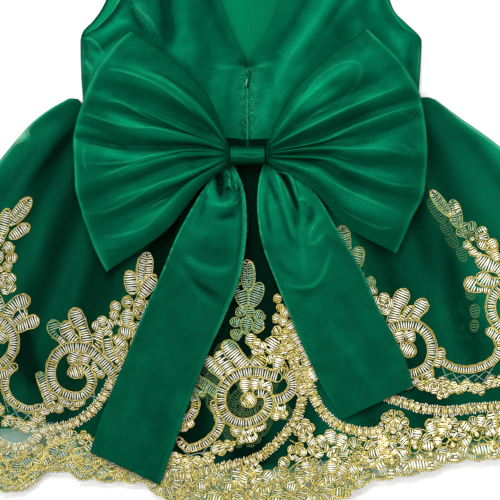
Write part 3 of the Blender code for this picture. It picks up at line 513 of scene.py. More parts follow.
# ------------------------------------------------------------------- materials
class Nodes:
    """Short calls for building a node tree."""

    def __init__(self, name):
        self.mat = bpy.data.materials.new(name)
        self.mat.use_nodes = True
        self.tree = self.mat.node_tree
        self.bsdf = self.tree.nodes["Principled BSDF"]
        self.out = self.tree.nodes["Material Output"]

    def add(self, kind, **props):
        n = self.tree.nodes.new(kind)
        for k, v in props.items():
            setattr(n, k, v)
        return n

    def put(self, socket, value):
        if hasattr(value, "is_output"):
            self.tree.links.new(value, socket)
        else:
            socket.default_value = value

    def math(self, op, a, b=0.0, clamp=False):
        n = self.add("ShaderNodeMath", operation=op, use_clamp=clamp)
        self.put(n.inputs[0], a)
        self.put(n.inputs[1], b)
        return n.outputs[0]

    def mix(self, fac, a, b, mode="MIX"):
        n = self.add("ShaderNodeMix", data_type="RGBA", blend_type=mode)
        self.put(n.inputs["Factor"], fac)
        for s, v in ((n.inputs[6], a), (n.inputs[7], b)):
            self.put(s, (*v, 1.0) if isinstance(v, tuple) and len(v) == 3 else v)
        return n.outputs[2]

    def uv(self, scale_u, scale_v, name="Cloth"):
        u = self.add("ShaderNodeUVMap", uv_map=name)
        m = self.add("ShaderNodeMapping")
        m.inputs["Scale"].default_value = (scale_u, scale_v, 1.0)
        self.put(m.inputs["Vector"], u.outputs[0])
        return m.outputs[0]

    def place(self, scale):
        g = self.add("ShaderNodeNewGeometry")
        m = self.add("ShaderNodeVectorMath", operation="SCALE")
        self.put(m.inputs[0], g.outputs["Position"])
        m.inputs["Scale"].default_value = scale
        return m.outputs[0]

    def object_place(self, scale):
        g = self.add("ShaderNodeTexCoord")
        m = self.add("ShaderNodeVectorMath", operation="SCALE")
        self.put(m.inputs[0], g.outputs["Object"])
        m.inputs["Scale"].default_value = scale
        return m.outputs[0]

    def noise(self, vector, scale=1.0, detail=2.0, rough=0.5):
        n = self.add("ShaderNodeTexNoise")
        self.put(n.inputs["Vector"], vector)
        n.inputs["Scale"].default_value = scale
        n.inputs["Detail"].default_value = detail
        n.inputs["Roughness"].default_value = rough
        return n.outputs[0]

    def attribute(self, name):
        return self.add("ShaderNodeAttribute", attribute_name=name).outputs["Fac"]

    def remap(self, value, a, b, c, d):
        n = self.add("ShaderNodeMapRange")
        self.put(n.inputs["Value"], value)
        for key, v in (("From Min", a), ("From Max", b), ("To Min", c), ("To Max", d)):
            n.inputs[key].default_value = v
        return n.outputs[0]

    def bump(self, height, strength, distance, normal=None):
        n = self.add("ShaderNodeBump")
        n.inputs["Strength"].default_value = strength
        n.inputs["Distance"].default_value = distance
        self.put(n.inputs["Height"], height)
        if normal is not None:
            self.put(n.inputs["Normal"], normal)
        return n.outputs[0]

    def set(self, **values):
        for k, v in values.items():
            s = self.bsdf.inputs[k.replace("_", " ")]
            self.put(s, (*v, 1.0) if isinstance(v, tuple) and len(v) == 3 else v)


def ribs(n, scale_u, scale_v):
    """Fine over-and-under weave: a weighted sum of two sine bands in metres of cloth."""
    out = []
    for axis, scale in (("X", scale_u), ("Y", scale_v)):
        w = n.add("ShaderNodeTexWave", wave_type="BANDS", bands_direction=axis, wave_profile="SIN")
        n.put(w.inputs["Vector"], n.uv(1.0, 1.0))
        w.inputs["Scale"].default_value = scale
        w.inputs["Distortion"].default_value = 0.0
        out.append(w.outputs["Fac"])
    return n.math("ADD", n.math("MULTIPLY", out[0], 0.4), n.math("MULTIPLY", out[1], 0.6))


def satin(name, dark, mid, light, rough=0.44, metal=0.12, warp="V", gloss=0.07, crumple=0.16):
    """Polyester satin: painted shade in its hollows and painted highlights on its crests, with slubs, weave and painted
    crush glints.
    """
    n = Nodes(name)
    # the tone attribute holds painted shade (low) and painted highlight (high) worked out from the folds
    tone = n.attribute("tone")
    col = n.mix(n.remap(tone, 0.02, 0.50, 0.0, 1.0), dark, mid)
    col = n.mix(n.remap(tone, 0.52, 0.98, 0.0, 1.0), col, light)
    u, v = (1700.0, 70.0) if warp == "V" else (70.0, 1700.0)
    slub = n.noise(n.uv(u, v), detail=3.0)
    cross = n.noise(n.uv(v * 1.2, u * 0.9), detail=2.0)
    patch = n.noise(n.uv(34.0, 34.0), detail=3.0)
    fine = n.noise(n.uv(900.0, 900.0), detail=2.0)
    k = n.math("MULTIPLY", n.remap(slub, 0.25, 0.75, 0.90, 1.09), n.remap(patch, 0.25, 0.75, 0.94, 1.05))
    k = n.math("MULTIPLY", k, n.remap(cross, 0.25, 0.75, 0.95, 1.05))
    k = n.math("MULTIPLY", k, n.remap(fine, 0.2, 0.8, 0.91, 1.09))
    # painted glints in specks on crushed places, and a painted thin highlight line on edges and sharp crests
    speck = n.noise(n.uv(1250.0, 1250.0), detail=1.0)
    speck = n.math("MULTIPLY", n.remap(speck, 0.50, 0.64, 0.0, 1.0), n.attribute("extra"))
    shine = n.math("ADD", n.math("MINIMUM", speck, 0.9), n.math("MULTIPLY", n.attribute("line"), 0.85), True)
    col = n.mix(shine, col, lin(34, 164, 118))
    scale = n.add("ShaderNodeVectorMath", operation="SCALE")
    n.put(scale.inputs[0], col)
    n.put(scale.inputs["Scale"], k)
    n.set(Base_Color=scale.outputs[0], Metallic=metal, Specular_IOR_Level=gloss,
          Specular_Tint=(0.0, 0.80, 0.50), Anisotropic=0.3,
          Sheen_Weight=0.04, Sheen_Roughness=0.4, Sheen_Tint=(0.0, 0.60, 0.36),
          Roughness=n.remap(n.math("ADD", slub, patch), 0.6, 1.4, rough - 0.05, rough + 0.07))
    h = n.math("ADD", n.math("MULTIPLY", slub, 0.8), n.math("MULTIPLY", ribs(n, 560.0, 560.0), 0.5))
    crush = n.noise(n.uv(150.0, 150.0), detail=3.0, rough=0.6)
    nrm = n.bump(crush, crumple, 0.0011)
    n.set(Normal=n.bump(h, 0.22, 0.00008, nrm))
    return n.mat


def tulle(name, dark, light, thin, dense):
    """Sheer net: threads round open cells, and more cover where it is gathered."""
    n = Nodes(name)
    # the tone attribute holds painted light and shade across the skirt, and the paler net where no lining lies under it
    tone = n.attribute("tone")
    col = n.mix(n.remap(tone, 0.0, 1.0, 0.0, 1.0), dark, light)
    cloud = n.noise(n.uv(26.0, 26.0), detail=2.0)
    grain = n.noise(n.uv(720.0, 720.0), detail=2.0)
    scale = n.add("ShaderNodeVectorMath", operation="SCALE")
    n.put(scale.inputs[0], col)
    n.put(scale.inputs["Scale"], n.math("MULTIPLY", n.remap(cloud, 0.3, 0.7, 0.90, 1.08),
                                        n.remap(grain, 0.25, 0.75, 0.92, 1.08)))
    cell = n.add("ShaderNodeTexVoronoi", feature="DISTANCE_TO_EDGE")
    n.put(cell.inputs["Vector"], n.uv(1.0, 1.0))
    cell.inputs["Scale"].default_value = 900.0
    thread = n.remap(cell.outputs["Distance"], 0.05, 0.22, 1.0, 0.0)
    cover = n.math("ADD", n.remap(n.attribute("extra"), 0.0, 1.0, thin, dense),
                   n.math("MULTIPLY", n.math("SUBTRACT", thread, 0.45), 0.11))
    n.set(Base_Color=scale.outputs[0], Roughness=0.75, Specular_IOR_Level=0.06,
          Specular_Tint=(0.0, 0.85, 0.55), Sheen_Weight=0.06, Sheen_Roughness=0.35,
          Sheen_Tint=(0.0, 0.60, 0.36), Alpha=n.math("ADD", cover, 0.0, True),
          Normal=n.bump(thread, 0.05, 0.0002))
    return n.mat


def thread(name, dark, light, rough, metal, scale=900.0, side=0.6):
    """Embroidery thread: shade varies stitch by stitch, with a twisted ply, and painted shade along the sides of each
    thread.
    """
    n = Nodes(name)
    a = n.noise(n.object_place(scale), detail=2.0)
    b = n.noise(n.object_place(90.0), detail=2.0)
    col = n.mix(n.remap(a, 0.36, 0.64, 0.0, 1.0), dark, light)
    sc = n.add("ShaderNodeVectorMath", operation="SCALE")
    n.put(sc.inputs[0], col)
    # painted shade: darker towards the sides of each thread, where the tone attribute is low
    k = n.math("MULTIPLY", n.remap(b, 0.3, 0.7, 0.86, 1.10), n.remap(n.attribute("tone"), 0.0, 0.7, side, 1.0))
    # painted light: the work is a little brighter towards the right side of the skirt
    xyz = n.add("ShaderNodeSeparateXYZ")
    n.put(xyz.inputs[0], n.object_place(1.0))
    k = n.math("MULTIPLY", k, n.remap(xyz.outputs[0], -0.20, 0.20, 0.87, 1.16))
    n.put(sc.inputs["Scale"], k)
    w = n.add("ShaderNodeTexWave", wave_type="BANDS", bands_direction="DIAGONAL")
    n.put(w.inputs["Vector"], n.object_place(1.0))
    w.inputs["Scale"].default_value = 700.0
    w.inputs["Distortion"].default_value = 2.0
    n.set(Base_Color=sc.outputs[0], Metallic=metal, Specular_IOR_Level=0.5,
          Roughness=n.remap(b, 0.3, 0.7, rough - 0.06, rough + 0.06),
          Normal=n.bump(w.outputs["Fac"], 0.30, 0.00012))
    return n.mat


def lin(r, g, b):
    """sRGB 0-255 to linear."""
    return tuple(c / 255 / 12.92 if c <= 10 else ((c / 255 + 0.055) / 1.055) ** 2.4 for c in (r, g, b))



# ------------------------------------------------------------------- finishes
# the satin pieces are one cloth in lighter and darker copies: painted sheen that changes with the weave's direction to
# the light
SATIN_BODICE = satin("satin_bodice", lin(0, 48, 33), lin(1, 88, 61), lin(3, 119, 82), 0.42, 0.26)
SATIN_INSIDE = satin("satin_inside", lin(1, 70, 46), lin(2, 121, 80), lin(3, 132, 89), 0.52, 0.12)
SATIN_FRONT = satin("satin_front", lin(1, 56, 38), lin(2, 92, 63), lin(4, 118, 81), 0.46, 0.20)
SATIN_BOW = satin("satin_bow", lin(0, 26, 17), lin(1, 69, 46), lin(3, 120, 82), 0.40, 0.28, warp="U", crumple=0.10)
SATIN_TAIL = satin("satin_tail", lin(0, 18, 12), lin(2, 75, 52), lin(3, 112, 77), 0.44, 0.24, crumple=0.06)
LINING = satin("lining_satin", lin(0, 5, 3), lin(1, 20, 12), lin(2, 46, 31), 0.6, 0.06, crumple=0.05)
NET = tulle("net_green", lin(1, 28, 17), lin(10, 160, 114), 0.21, 0.88)
NET_FRONT = tulle("net_front", lin(2, 66, 44), lin(14, 150, 108), 0.20, 0.80)
GOLD = thread("cord_gold", lin(150, 124, 40), lin(252, 238, 134), 0.38, 0.12, side=0.64)
CREAM = thread("thread_cream", lin(228, 220, 190), lin(255, 254, 238), 0.42, 0.0, side=0.80)
NETTING = thread("thread_net", lin(130, 170, 150), lin(210, 232, 220), 0.6, 0.0)

# Fine folds of the bodice back: height (mm), half width, points.  Ridges are
# above zero and troughs below.
FOLDS_BACK_LEFT = [
    (0.9, 9, [(176, -70), (181, -20), (185, 20), (190, 55)]),
    (-1.3, 7.0, [(156, -60), (163, -10), (168, 25), (174, 56)]),
    (0.7, 10, [(160, 40), (182, 58), (206, 84)]),
    (-0.9, 7, [(204, -30), (214, 5), (228, 40), (240, 60)]),
    (0.8, 3.0, [(136, 0), (142, 10), (149, 20), (153, 30)]),
    (-0.9, 3.0, [(130, 8), (136, 20), (146, 34)]),
    (0.6, 1.8, [(144, 2), (147, 9), (152, 13)]),
    (0.9, 5.0, [(96, 44), (106, 34), (122, 24), (134, 26)]),
    (-0.8, 4.0, [(88, 50), (100, 50), (112, 42), (120, 36)]),
    (0.8, 3.2, [(94, 66), (104, 60), (112, 50), (117, 40)]),
    (-0.7, 2.6, [(84, 72), (90, 66), (94, 56)]),
    (0.5, 1.8, [(83, 60), (88, 66), (91, 74)]),
    (0.6, 2.2, [(84, 80), (90, 84), (93, 92)]),
    (-0.8, 5, [(118, -30), (128, -8), (132, 12)]),
    (0.5, 5, [(222, 72), (212, 92), (214, 126)]),
    (-0.5, 4, [(232, 74), (228, 96), (230, 130)]),
    (0.18, 2.0, [(205, 66), (222, 67.5), (240, 68)]),
    (0.7, 10, [(140, -100), (150, -70), (160, -40)]),
    (-0.6, 7, [(128, -100), (138, -70), (142, -30)]),
]
FOLDS_BACK_RIGHT = [
    (1.6, 6.5, [(350, -50), (337, -8), (316, 26), (291, 58), (274, 90), (264, 112)]),
    (1.1, 5.5, [(378, -30), (352, 2), (328, 30), (304, 60)]),
    (-1.3, 6.0, [(322, -40), (305, 4), (288, 34), (270, 58)]),
    (-0.9, 5.0, [(346, 0), (322, 34), (298, 66), (282, 92)]),
    (-1.1, 8, [(372, -20), (366, 12), (372, 40)]),
    (0.9, 5.0, [(390, 30), (398, 42), (404, 54)]),
    (0.6, 3.0, [(380, 42), (386, 50), (392, 62)]),
    (-0.8, 4.0, [(412, 40), (409, 54), (414, 72)]),
    (0.5, 2.0, [(418, 48), (417, 62), (419, 80)]),
    (0.5, 4, [(262, 76), (266, 96), (264, 128)]),
    (-0.6, 4, [(272, 78), (276, 100), (272, 126)]),
    (0.4, 2.0, [(256, 68), (264, 65), (272, 62)]),
    (0.7, 10, [(352, -105), (346, -75), (338, -45)]),
    (-0.6, 7, [(366, -100), (360, -70), (356, -40)]),
]
# Painted highlight (+) and painted shade (-) lines along the creases and edges: amount, half width, points.
SHADES_BACK_LEFT = [
    (0.26, 2.8, [(120, -16), (112, 0), (104, 13), (97, 26)]),
    (-0.70, 2.2, [(116, -22), (104, 2), (97, 17), (88, 27), (80, 38)]),
    (-0.36, 3.4, [(132, -16), (122, 2), (111, 18), (100, 28), (90, 32)]),
    (0.16, 5.0, [(104, 40), (116, 26), (128, 16)]),
    (-0.20, 2.4, [(128, 4), (134, 12), (139, 22), (142, 30)]),
    (0.32, 1.2, [(82, 38), (90, 38.5), (98, 45), (103, 54)]),
    (0.20, 4.0, [(86, 46), (94, 54), (100, 64)]),
    (-0.24, 2.4, [(83, 44), (87, 50), (88, 60)]),
    (0.40, 1.8, [(85, 62), (89, 66), (92, 70)]),
    (-0.45, 3.4, [(82, 74), (86, 79), (90, 86)]),
    (0.07, 1.6, [(214, 68.5), (228, 68), (242, 67)]),
    (-0.14, 5.0, [(208, 78), (216, 96), (222, 120)])]
SHADES_BACK_RIGHT = [
    (0.30, 0.8, [(384, -8), (391, 6), (404, 27), (416, 36)]),
    (0.20, 2.6, [(382, -6), (388, 6), (400, 26)]),
    (-0.22, 3.0, [(378, 2), (388, 20), (402, 34)]),
    (0.14, 5.0, [(398, 38), (404, 50), (400, 66)]),
    (-0.20, 3.0, [(410, 56), (410, 72), (412, 90)]),
    (0.22, 1.2, [(419, 44), (418, 62), (417, 84)]),
    (0.16, 6.0, [(302, 60), (290, 78), (276, 100)]),
    (0.16, 1.6, [(256, 67), (268, 65), (282, 60)])]
# Thin painted highlight lines on edges and sharp creases.
LINES_BACK_LEFT = [
    (1.0, 0.9, [(128, -16), (118.5, 0), (108, 13), (96, 27)]),
    (0.35, 1.1, [(82, 38), (90, 38.5), (98, 45), (103, 54)]),
    (0.40, 1.6, [(84, 60), (88, 64), (92, 70)]),
    (0.30, 1.2, [(133, 0), (140, 10), (150, 20), (157, 32)]),
    (0.14, 1.0, [(216, 68.5), (230, 67.5), (243, 66.5)]),
    (0.25, 1.0, [(83.5, 44), (82.5, 62), (84, 84)])]
LINES_BACK_RIGHT = [
    (0.8, 0.9, [(378, -16), (388, 0), (395, 14), (405, 28)]),
    (0.18, 1.0, [(253, 66.5), (262, 66), (274, 62)]),
    (0.35, 1.0, [(420, 44), (419, 62), (417.5, 84)])]
# Puckers beside the zip, both sides.
ZIP_PUCKERS = [(0.35, 1.1, [(242, 78), (244, 80)]), (0.3, 1.0, [(253, 84), (250, 87)]),
               (0.35, 1.2, [(241, 92), (244, 96)]), (0.3, 1.1, [(254, 97), (250, 100)]),
               (0.3, 1.2, [(242, 108), (245, 111)]), (0.25, 1.0, [(253, 112), (250, 115)]),
               (0.3, 1.1, [(242, 122), (244, 126)]), (0.25, 1.0, [(252, 128), (250, 131)])]

# Bow loops in finer crests and hollows than the solids: neck gy, points at a third
# and two thirds, end on the outer fold, and height in mm at the stations below.
FINE_STATIONS = (0.0, 0.12, 0.35, 0.60, 0.82, 1.0)
FINE_LEFT = [
    (146.0, 209, 98, 174, 60, 132, 32, 0.6, 0.5, 0.4, 0.3, 0.0),
    (146.4, 206, 103, 166, 67, 121, 41, 1.8, 2.0, 1.8, 1.6, 0.6),
    (146.8, 203, 106, 159, 72, 112, 52, 3.0, 3.8, 3.2, 2.4, 0.8),
    (147.3, 200, 108, 152, 77, 103, 63, 4.6, 7.2, 6.2, 3.4, 1.4),
    (147.9, 199, 113, 148, 84, 98, 71, 3.4, 5.2, 4.8, 3.3, 1.3),
    (148.5, 197, 121, 143, 98, 93, 82, 0.8, 0.6, 0.8, 2.4, 1.2),
    (149.1, 194, 129, 142, 107, 90, 88, 1.2, 1.0, 1.6, 2.7, 1.3),
    (149.6, 192, 134, 142, 112, 88, 93, 2.4, 2.6, 3.0, 3.2, 1.5),
    (150.1, 194, 137, 142, 118, 84, 104, 1.8, 1.6, 1.9, 2.3, 1.2),
    (150.8, 198, 138, 142, 127, 79, 119, 4.6, 7.0, 6.2, 4.0, 1.8),
    (151.5, 196, 142, 136, 136, 77, 128, 3.6, 4.4, 3.8, 2.8, 1.3),
    (152.2, 191, 146, 130, 147, 75, 137, 0.5, 0.1, 0.2, 0.2, 0.3),
    (152.8, 191, 148, 129, 151, 75, 142, 1.2, 0.9, 1.8, 2.2, 1.0),
    (153.4, 192, 150, 128, 160, 75.5, 154, 4.2, 5.8, 4.8, 3.4, 1.8),
    (154.2, 188, 152, 128, 166, 76.5, 170, 3.4, 4.2, 4.0, 3.0, 1.5),
    (154.9, 183, 156, 129, 170, 77, 186, 3.4, 4.6, 4.4, 3.5, 1.7),
    (155.8, 185, 162, 133, 180, 80, 200, 1.0, 0.8, 1.0, 1.8, 1.0),
    (156.7, 186, 170, 138, 187, 83, 210, 2.0, 2.4, 2.6, 2.9, 1.2),
    (157.2, 187, 175, 141, 192, 84, 215, 3.2, 4.8, 4.6, 3.5, 1.5),
    (158.0, 190, 181, 147, 202, 89, 228, 1.8, 1.4, 1.2, 1.8, 0.9),
    (159.2, 193, 180, 152, 208, 93, 240, 2.8, 3.4, 3.2, 2.8, 1.1),
    (160.6, 195, 179, 156, 216, 98, 252, 4.4, 7.2, 6.4, 4.0, 1.6),
    (161.8, 198, 184, 162, 223, 103, 262, 3.4, 4.6, 3.6, 2.2, 0.8),
    (162.8, 200, 189, 168, 229, 108, 271, 2.2, 2.0, 1.2, 0.6, 0.0)]
FINE_RIGHT = [
    (146.0, 288, 99, 324, 61, 366, 29.5, 0.6, 0.5, 0.4, 0.3, 0.0),
    (146.6, 294, 103, 336, 66, 378, 41, 1.8, 2.6, 2.4, 2.0, 0.8),
    (147.3, 299, 107, 344, 73, 389, 51, 2.6, 4.2, 4.4, 3.2, 1.2),
    (148.1, 303, 113, 352, 82, 397, 60, 2.0, 2.8, 3.4, 3.0, 1.2),
    (148.8, 305, 118, 357, 89, 402, 66, 1.2, 1.4, 2.2, 2.6, 1.1),
    (149.5, 307, 123, 358, 98, 407, 74, 3.2, 4.8, 4.0, 3.2, 1.5),
    (150.1, 308, 127, 358, 104, 412, 82, 5.2, 7.4, 6.2, 3.9, 1.8),
    (150.8, 311, 132, 363, 109, 416, 90, 2.6, 3.0, 2.6, 2.4, 1.2),
    (151.4, 315, 138, 368, 113, 419, 97, 0.8, 0.2, 0.4, 1.2, 0.7),
    (151.9, 317, 140, 370, 117, 420, 103, 1.9, 2.0, 2.2, 2.2, 1.1),
    (152.3, 320, 142, 372, 120, 421, 108, 2.8, 4.0, 4.0, 3.3, 1.6),
    (152.8, 320, 144, 375, 131, 424, 127, 1.6, 1.5, 1.8, 2.0, 1.1),
    (153.4, 320, 146, 375, 140, 425, 140, 2.7, 2.8, 2.7, 2.5, 1.2),
    (154.0, 320, 148, 375, 149, 425.5, 150, 4.0, 5.4, 4.6, 3.3, 1.7),
    (154.8, 319, 151, 374, 157, 425.3, 158, 2.2, 2.2, 2.2, 2.0, 1.0),
    (155.4, 318, 153, 372, 163, 425, 166, 0.6, 0.6, 1.2, 1.5, 0.8),
    (156.0, 318, 156, 371, 170, 424, 177, 2.4, 2.8, 2.6, 2.5, 1.2),
    (156.6, 318, 158, 370, 176, 423, 187, 3.2, 4.6, 4.0, 3.3, 1.6),
    (157.6, 316, 162, 366, 187, 420, 199, 1.0, 1.3, 1.8, 1.8, 0.8),
    (158.6, 313, 167, 361, 195, 416, 207, 3.4, 5.0, 4.0, 3.0, 1.3),
    (159.4, 311, 171, 357, 201, 411, 216, 4.2, 6.6, 5.4, 3.4, 1.4),
    (160.4, 308, 177, 350, 213, 404, 233, 2.4, 2.9, 2.6, 2.0, 0.8),
    (161.3, 309, 182, 348, 221, 399, 244, 1.8, 1.6, 1.2, 1.0, 0.4),
    (162.0, 310, 187, 347, 227, 395, 253, 1.6, 1.2, 0.8, 0.4, 0.0)]
MARKS_LEFT = [
    (0.9, 2.0, [(110, 70), (122, 72), (137, 76.5), (159, 86), (180, 101), (200, 119)]),
    (0.7, 1.6, [(152, 73), (165, 79), (178, 89), (190, 102)]),
    (0.7, 1.6, [(100, 101), (121, 103), (143, 115), (161, 124)]),
    (0.8, 2.0, [(78, 112), (96, 118), (128, 127), (159, 129), (186, 138)]),
    (-0.9, 1.6, [(77, 136), (96, 138), (112, 143), (136, 152)]),
    (0.7, 1.8, [(83, 164), (112, 164), (136, 161), (152, 155), (175, 151)]),
    (0.6, 1.5, [(100, 178), (128, 167), (150, 158)]),
    (0.7, 1.8, [(88, 214), (104, 212), (120, 206), (140, 195), (160, 183), (186, 177)]),
    (0.6, 1.6, [(150, 209), (158, 203), (170, 198)]),
    (0.8, 2.2, [(104, 237), (120, 236), (144, 228), (160, 214), (183, 190)]),
    (0.5, 2.0, [(86, 144), (84, 160), (88, 172)]),
    (-0.5, 3.0, [(100, 252), (120, 250), (140, 244)])]
MARKS_RIGHT = [
    (0.34, 2.6, [(293, 118), (300, 101), (316, 80), (335, 66), (352, 62), (361, 69), (357, 84), (345, 98), (339, 110)]),
    (-0.9, 6.0, [(312, 104), (326, 90), (342, 80)]),
    (0.6, 1.5, [(293, 127), (305, 122), (318, 112), (332, 107)]),
    (0.8, 2.2, [(290, 137), (312, 126), (344, 110), (376, 97), (404, 86)]),
    (0.7, 1.5, [(318, 141), (345, 130), (372, 120), (392, 112), (410, 108)]),
    (0.25, 1.5, [(395, 110), (408, 117), (420, 120)]),
    (0.6, 1.8, [(300, 150), (340, 149), (385, 150), (412, 156)]),
    (-0.5, 3.4, [(408, 146), (418, 150)]),
    (0.25, 1.6, [(400, 143), (410, 152), (416, 158)]),
    (-0.7, 1.8, [(326, 154), (352, 162), (385, 170)]),
    (0.7, 1.8, [(330, 164), (360, 173), (392, 184), (416, 186)]),
    (0.8, 2.6, [(322, 176), (346, 190), (372, 202), (398, 212)]),
    (0.5, 2.0, [(338, 208), (358, 219), (380, 228), (398, 226)]),
    (0.4, 1.6, [(284, 160), (300, 162), (316, 166)])]
MARKS_TAIL_LEFT = [
    (-2.2, 4.0, [(221, 172), (221, 180), (222, 187)]),
    (1.3, 2.0, [(214, 170), (211, 180), (213, 190)]),
    (1.0, 1.6, [(228, 168), (229, 178), (232, 188)]),
    (0.9, 1.3, [(224, 166), (226, 172), (231, 175)]),
    (0.7, 3.0, [(204, 202), (212, 205), (222, 206), (232, 203), (238, 196)]),
    (-0.4, 3.6, [(218, 219), (230, 217), (241, 214)]),
    (0.35, 4.0, [(208, 222), (222, 224), (238, 226)]),
    (-0.3, 5.0, [(200, 236), (216, 240), (232, 236)]),
    (0.7, 4.0, [(182, 252), (200, 268), (222, 272), (238, 262)]),
    (-0.6, 4.0, [(190, 278), (206, 290), (224, 300)]),
    (0.5, 3.5, [(172, 262), (186, 276), (204, 300), (226, 312)]),
    (0.6, 2.0, [(243, 176), (246, 200), (246, 236), (241, 270)]),
    (-0.5, 2.0, [(239, 180), (241, 204), (241, 238), (236, 268)]),
    (0.35, 9, [(150, 340), (140, 380), (126, 430)]),
    (-0.3, 8, [(186, 350), (170, 400), (152, 452)])]
MARKS_TAIL_RIGHT = [
    (-2.3, 3.2, [(282, 170), (288, 184), (294, 206), (300, 236)]),
    (1.4, 2.6, [(274, 166), (280, 186), (288, 214), (296, 244)]),
    (1.2, 1.2, [(280, 163), (287, 168), (292, 176), (295, 186), (298, 196)]),
    (-1.0, 1.3, [(284, 172), (288, 180), (292, 190)]),
    (1.0, 1.1, [(292, 182), (296, 188), (297, 197)]),
    (0.9, 1.0, [(272, 165), (280, 164), (288, 167)]),
    (0.8, 1.0, [(276, 169), (283, 169), (289, 173)]),
    (1.0, 2.2, [(299, 200), (305, 201), (308, 205)]),
    (-0.7, 3.0, [(304, 210), (310, 220), (306, 228)]),
    (0.6, 1.8, [(308, 242), (313, 230), (320, 220), (326, 214)]),
    (0.7, 2.0, [(306, 244), (316, 244), (326, 232)]),
    (-0.25, 5.0, [(320, 232), (332, 240), (342, 250)]),
    (0.55, 1.8, [(281, 284), (298, 288), (313, 286), (322, 277), (328, 262), (333, 246)]),
    (-0.6, 3.5, [(276, 258), (284, 270), (296, 278)]),
    (0.6, 2.6, [(262, 180), (262, 205), (266, 232)]),
    (-0.5, 2.0, [(268, 182), (268, 210), (274, 240)]),
    (0.4, 8, [(320, 310), (350, 350), (372, 386)]),
    (-0.3, 7, [(344, 300), (368, 340), (392, 376)])]


def shade_edges(gx, gy, seed, amount=1.0):
    """Small rumples all over a cloth, mm."""
    return amount * (0.16 * value_noise(gx, gy, 9.0, seed) + 0.07 * value_noise(gx, gy, 3.6, seed + 1))


# --------------------------------------------------------------------- bodice
def build_front():
    """Front panel and its lining, seen through the V and at the armholes."""
    v = np.concatenate([np.linspace(0, .72, 56), np.linspace(.72, 1, 12)[1:]])
    u = np.linspace(0, 1, 84)
    V, U = np.meshgrid(v, u, indexing="ij")
    out = []
    for name, node, z0, mat, inset, up in (
            ("front_panel", "bodice_front", 0.15, SATIN_FRONT, 0.0, False),
            ("front_lining", "bodice_lining_front", Z_FRONT_IN + 0.5, SATIN_INSIDE, 0.5, True)):
        lf, rf = edge_fn(FRONT_L_OUTER), edge_fn(FRONT_R_OUTER)

        def neck(t):
            return path(FRONT_NECK, t)

        # the neck scoops down between the shoulders: straps to its left and right
        lx, ly = lf(V)
        rx, ry = rf(V)
        nx0, ny0 = FRONT_NECK[0]
        nx1, ny1 = FRONT_NECK[-1]
        k = (u * 1.0)
        s0 = (nx0 - FRONT_L_OUTER[0][1]) / (FRONT_R_OUTER[0][1] - FRONT_L_OUTER[0][1])
        s1 = (nx1 - FRONT_L_OUTER[0][1]) / (FRONT_R_OUTER[0][1] - FRONT_L_OUTER[0][1])
        tx = np.where(k < s0, FRONT_L_OUTER[0][1] + (nx0 - FRONT_L_OUTER[0][1]) * k / s0,
                      np.where(k > s1, nx1 + (FRONT_R_OUTER[0][1] - nx1) * (k - s1) / (1 - s1), 0))
        mx, my = neck(np.clip((k - s0) / (s1 - s0), 0, 1))
        tx = np.where((k >= s0) & (k <= s1), mx, tx)
        ty = np.where((k >= s0) & (k <= s1), my,
                      np.where(k < s0, FRONT_L_OUTER[0][2] + (ny0 - FRONT_L_OUTER[0][2]) * k / s0,
                               ny1 + (FRONT_R_OUTER[0][2] - ny1) * (k - s1) / (1 - s1)))
        bx = 83.0 + 336.0 * u
        by = waist_y(bx)
        c = [(tx[0], ty[0]), (tx[-1], ty[-1]), (bx[0], by[0]), (bx[-1], by[-1])]
        gx = ((1 - V) * tx + V * bx + (1 - U) * lx + U * rx
              - ((1 - U) * (1 - V) * c[0][0] + U * (1 - V) * c[1][0] + (1 - U) * V * c[2][0] + U * V * c[3][0]))
        gy = ((1 - V) * ty + V * by + (1 - U) * ly + U * ry
              - ((1 - U) * (1 - V) * c[0][1] + U * (1 - V) * c[1][1] + (1 - U) * V * c[2][1] + U * V * c[3][1]))
        if inset:
            gx = gx + np.clip((0.5 - U) * 2 * inset * 4, -inset, inset)
            gy = np.where(V > 0.97, gy - inset, gy)
        else:
            # its turned-up seam allowance lies under the skirt's
            gy = gy + 3.0 * ramp((V - 0.96) / 0.04)
        wob = value_noise(gx, gy, 26.0, 3) * 0.12 + value_noise(gx, gy, 60.0, 5) * 0.2
        z = z0 + (np.abs(wob) if up else 0.0 * wob + 0.25 * (wob + 0.3))
        tone = 0.5 + 0.28 * value_noise(gx + 0.4 * gy, gy * 0.35, 30.0, 8)
        if up:
            # shade of the back panels on the lining close to the V
            edge_l = curve([-115, -74, -34, 0, 19, 41, 62], [171, 188.5, 206, 220, 226.5, 235.5, 246.6], gy)
            edge_r = curve([-115, -74, -34, 0, 19, 41, 62], [330, 314, 297.5, 282.5, 275, 263, 248.6], gy)
            near = np.minimum(gx - edge_l, edge_r - gx)
            tone = tone - 0.20 * np.exp(-np.maximum(near, 0) / 5.0)
            # the turned armhole edge is in shade, the cloth inside it is lit
            d_l, d_r = gx - lx, rx - gx
            high = ramp((60.0 - gy) / 20.0)
            tone = tone + high * (0.30 - 1.0 * np.exp(-(d_l / 3.2) ** 2)) * np.exp(-(d_l / 26.0) ** 2)
            tone = tone + high * 0.20 * np.exp(-(d_r / 8.0) ** 2)
        o = grid_piece(name, gx, gy, z, mat, tone=tone, thick=0.35 if up else 0.3, up=up)
        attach(o, "dress")
        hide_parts(node)
        out.append(o)
    return out


def edge_fn(table):
    t = np.asarray(table, float)
    return lambda v: (curve(t[:, 0], t[:, 1], v), curve(t[:, 0], t[:, 2], v))


def line_fn(a, b):
    return lambda u: (a[0] + (b[0] - a[0]) * np.asarray(u, float),
                      a[1] + (b[1] - a[1]) * np.asarray(u, float))


def near_zip(left):
    """Inner edge of a back panel, drawn in beside the zip."""
    return BACK_L_INNER if left else BACK_R_INNER


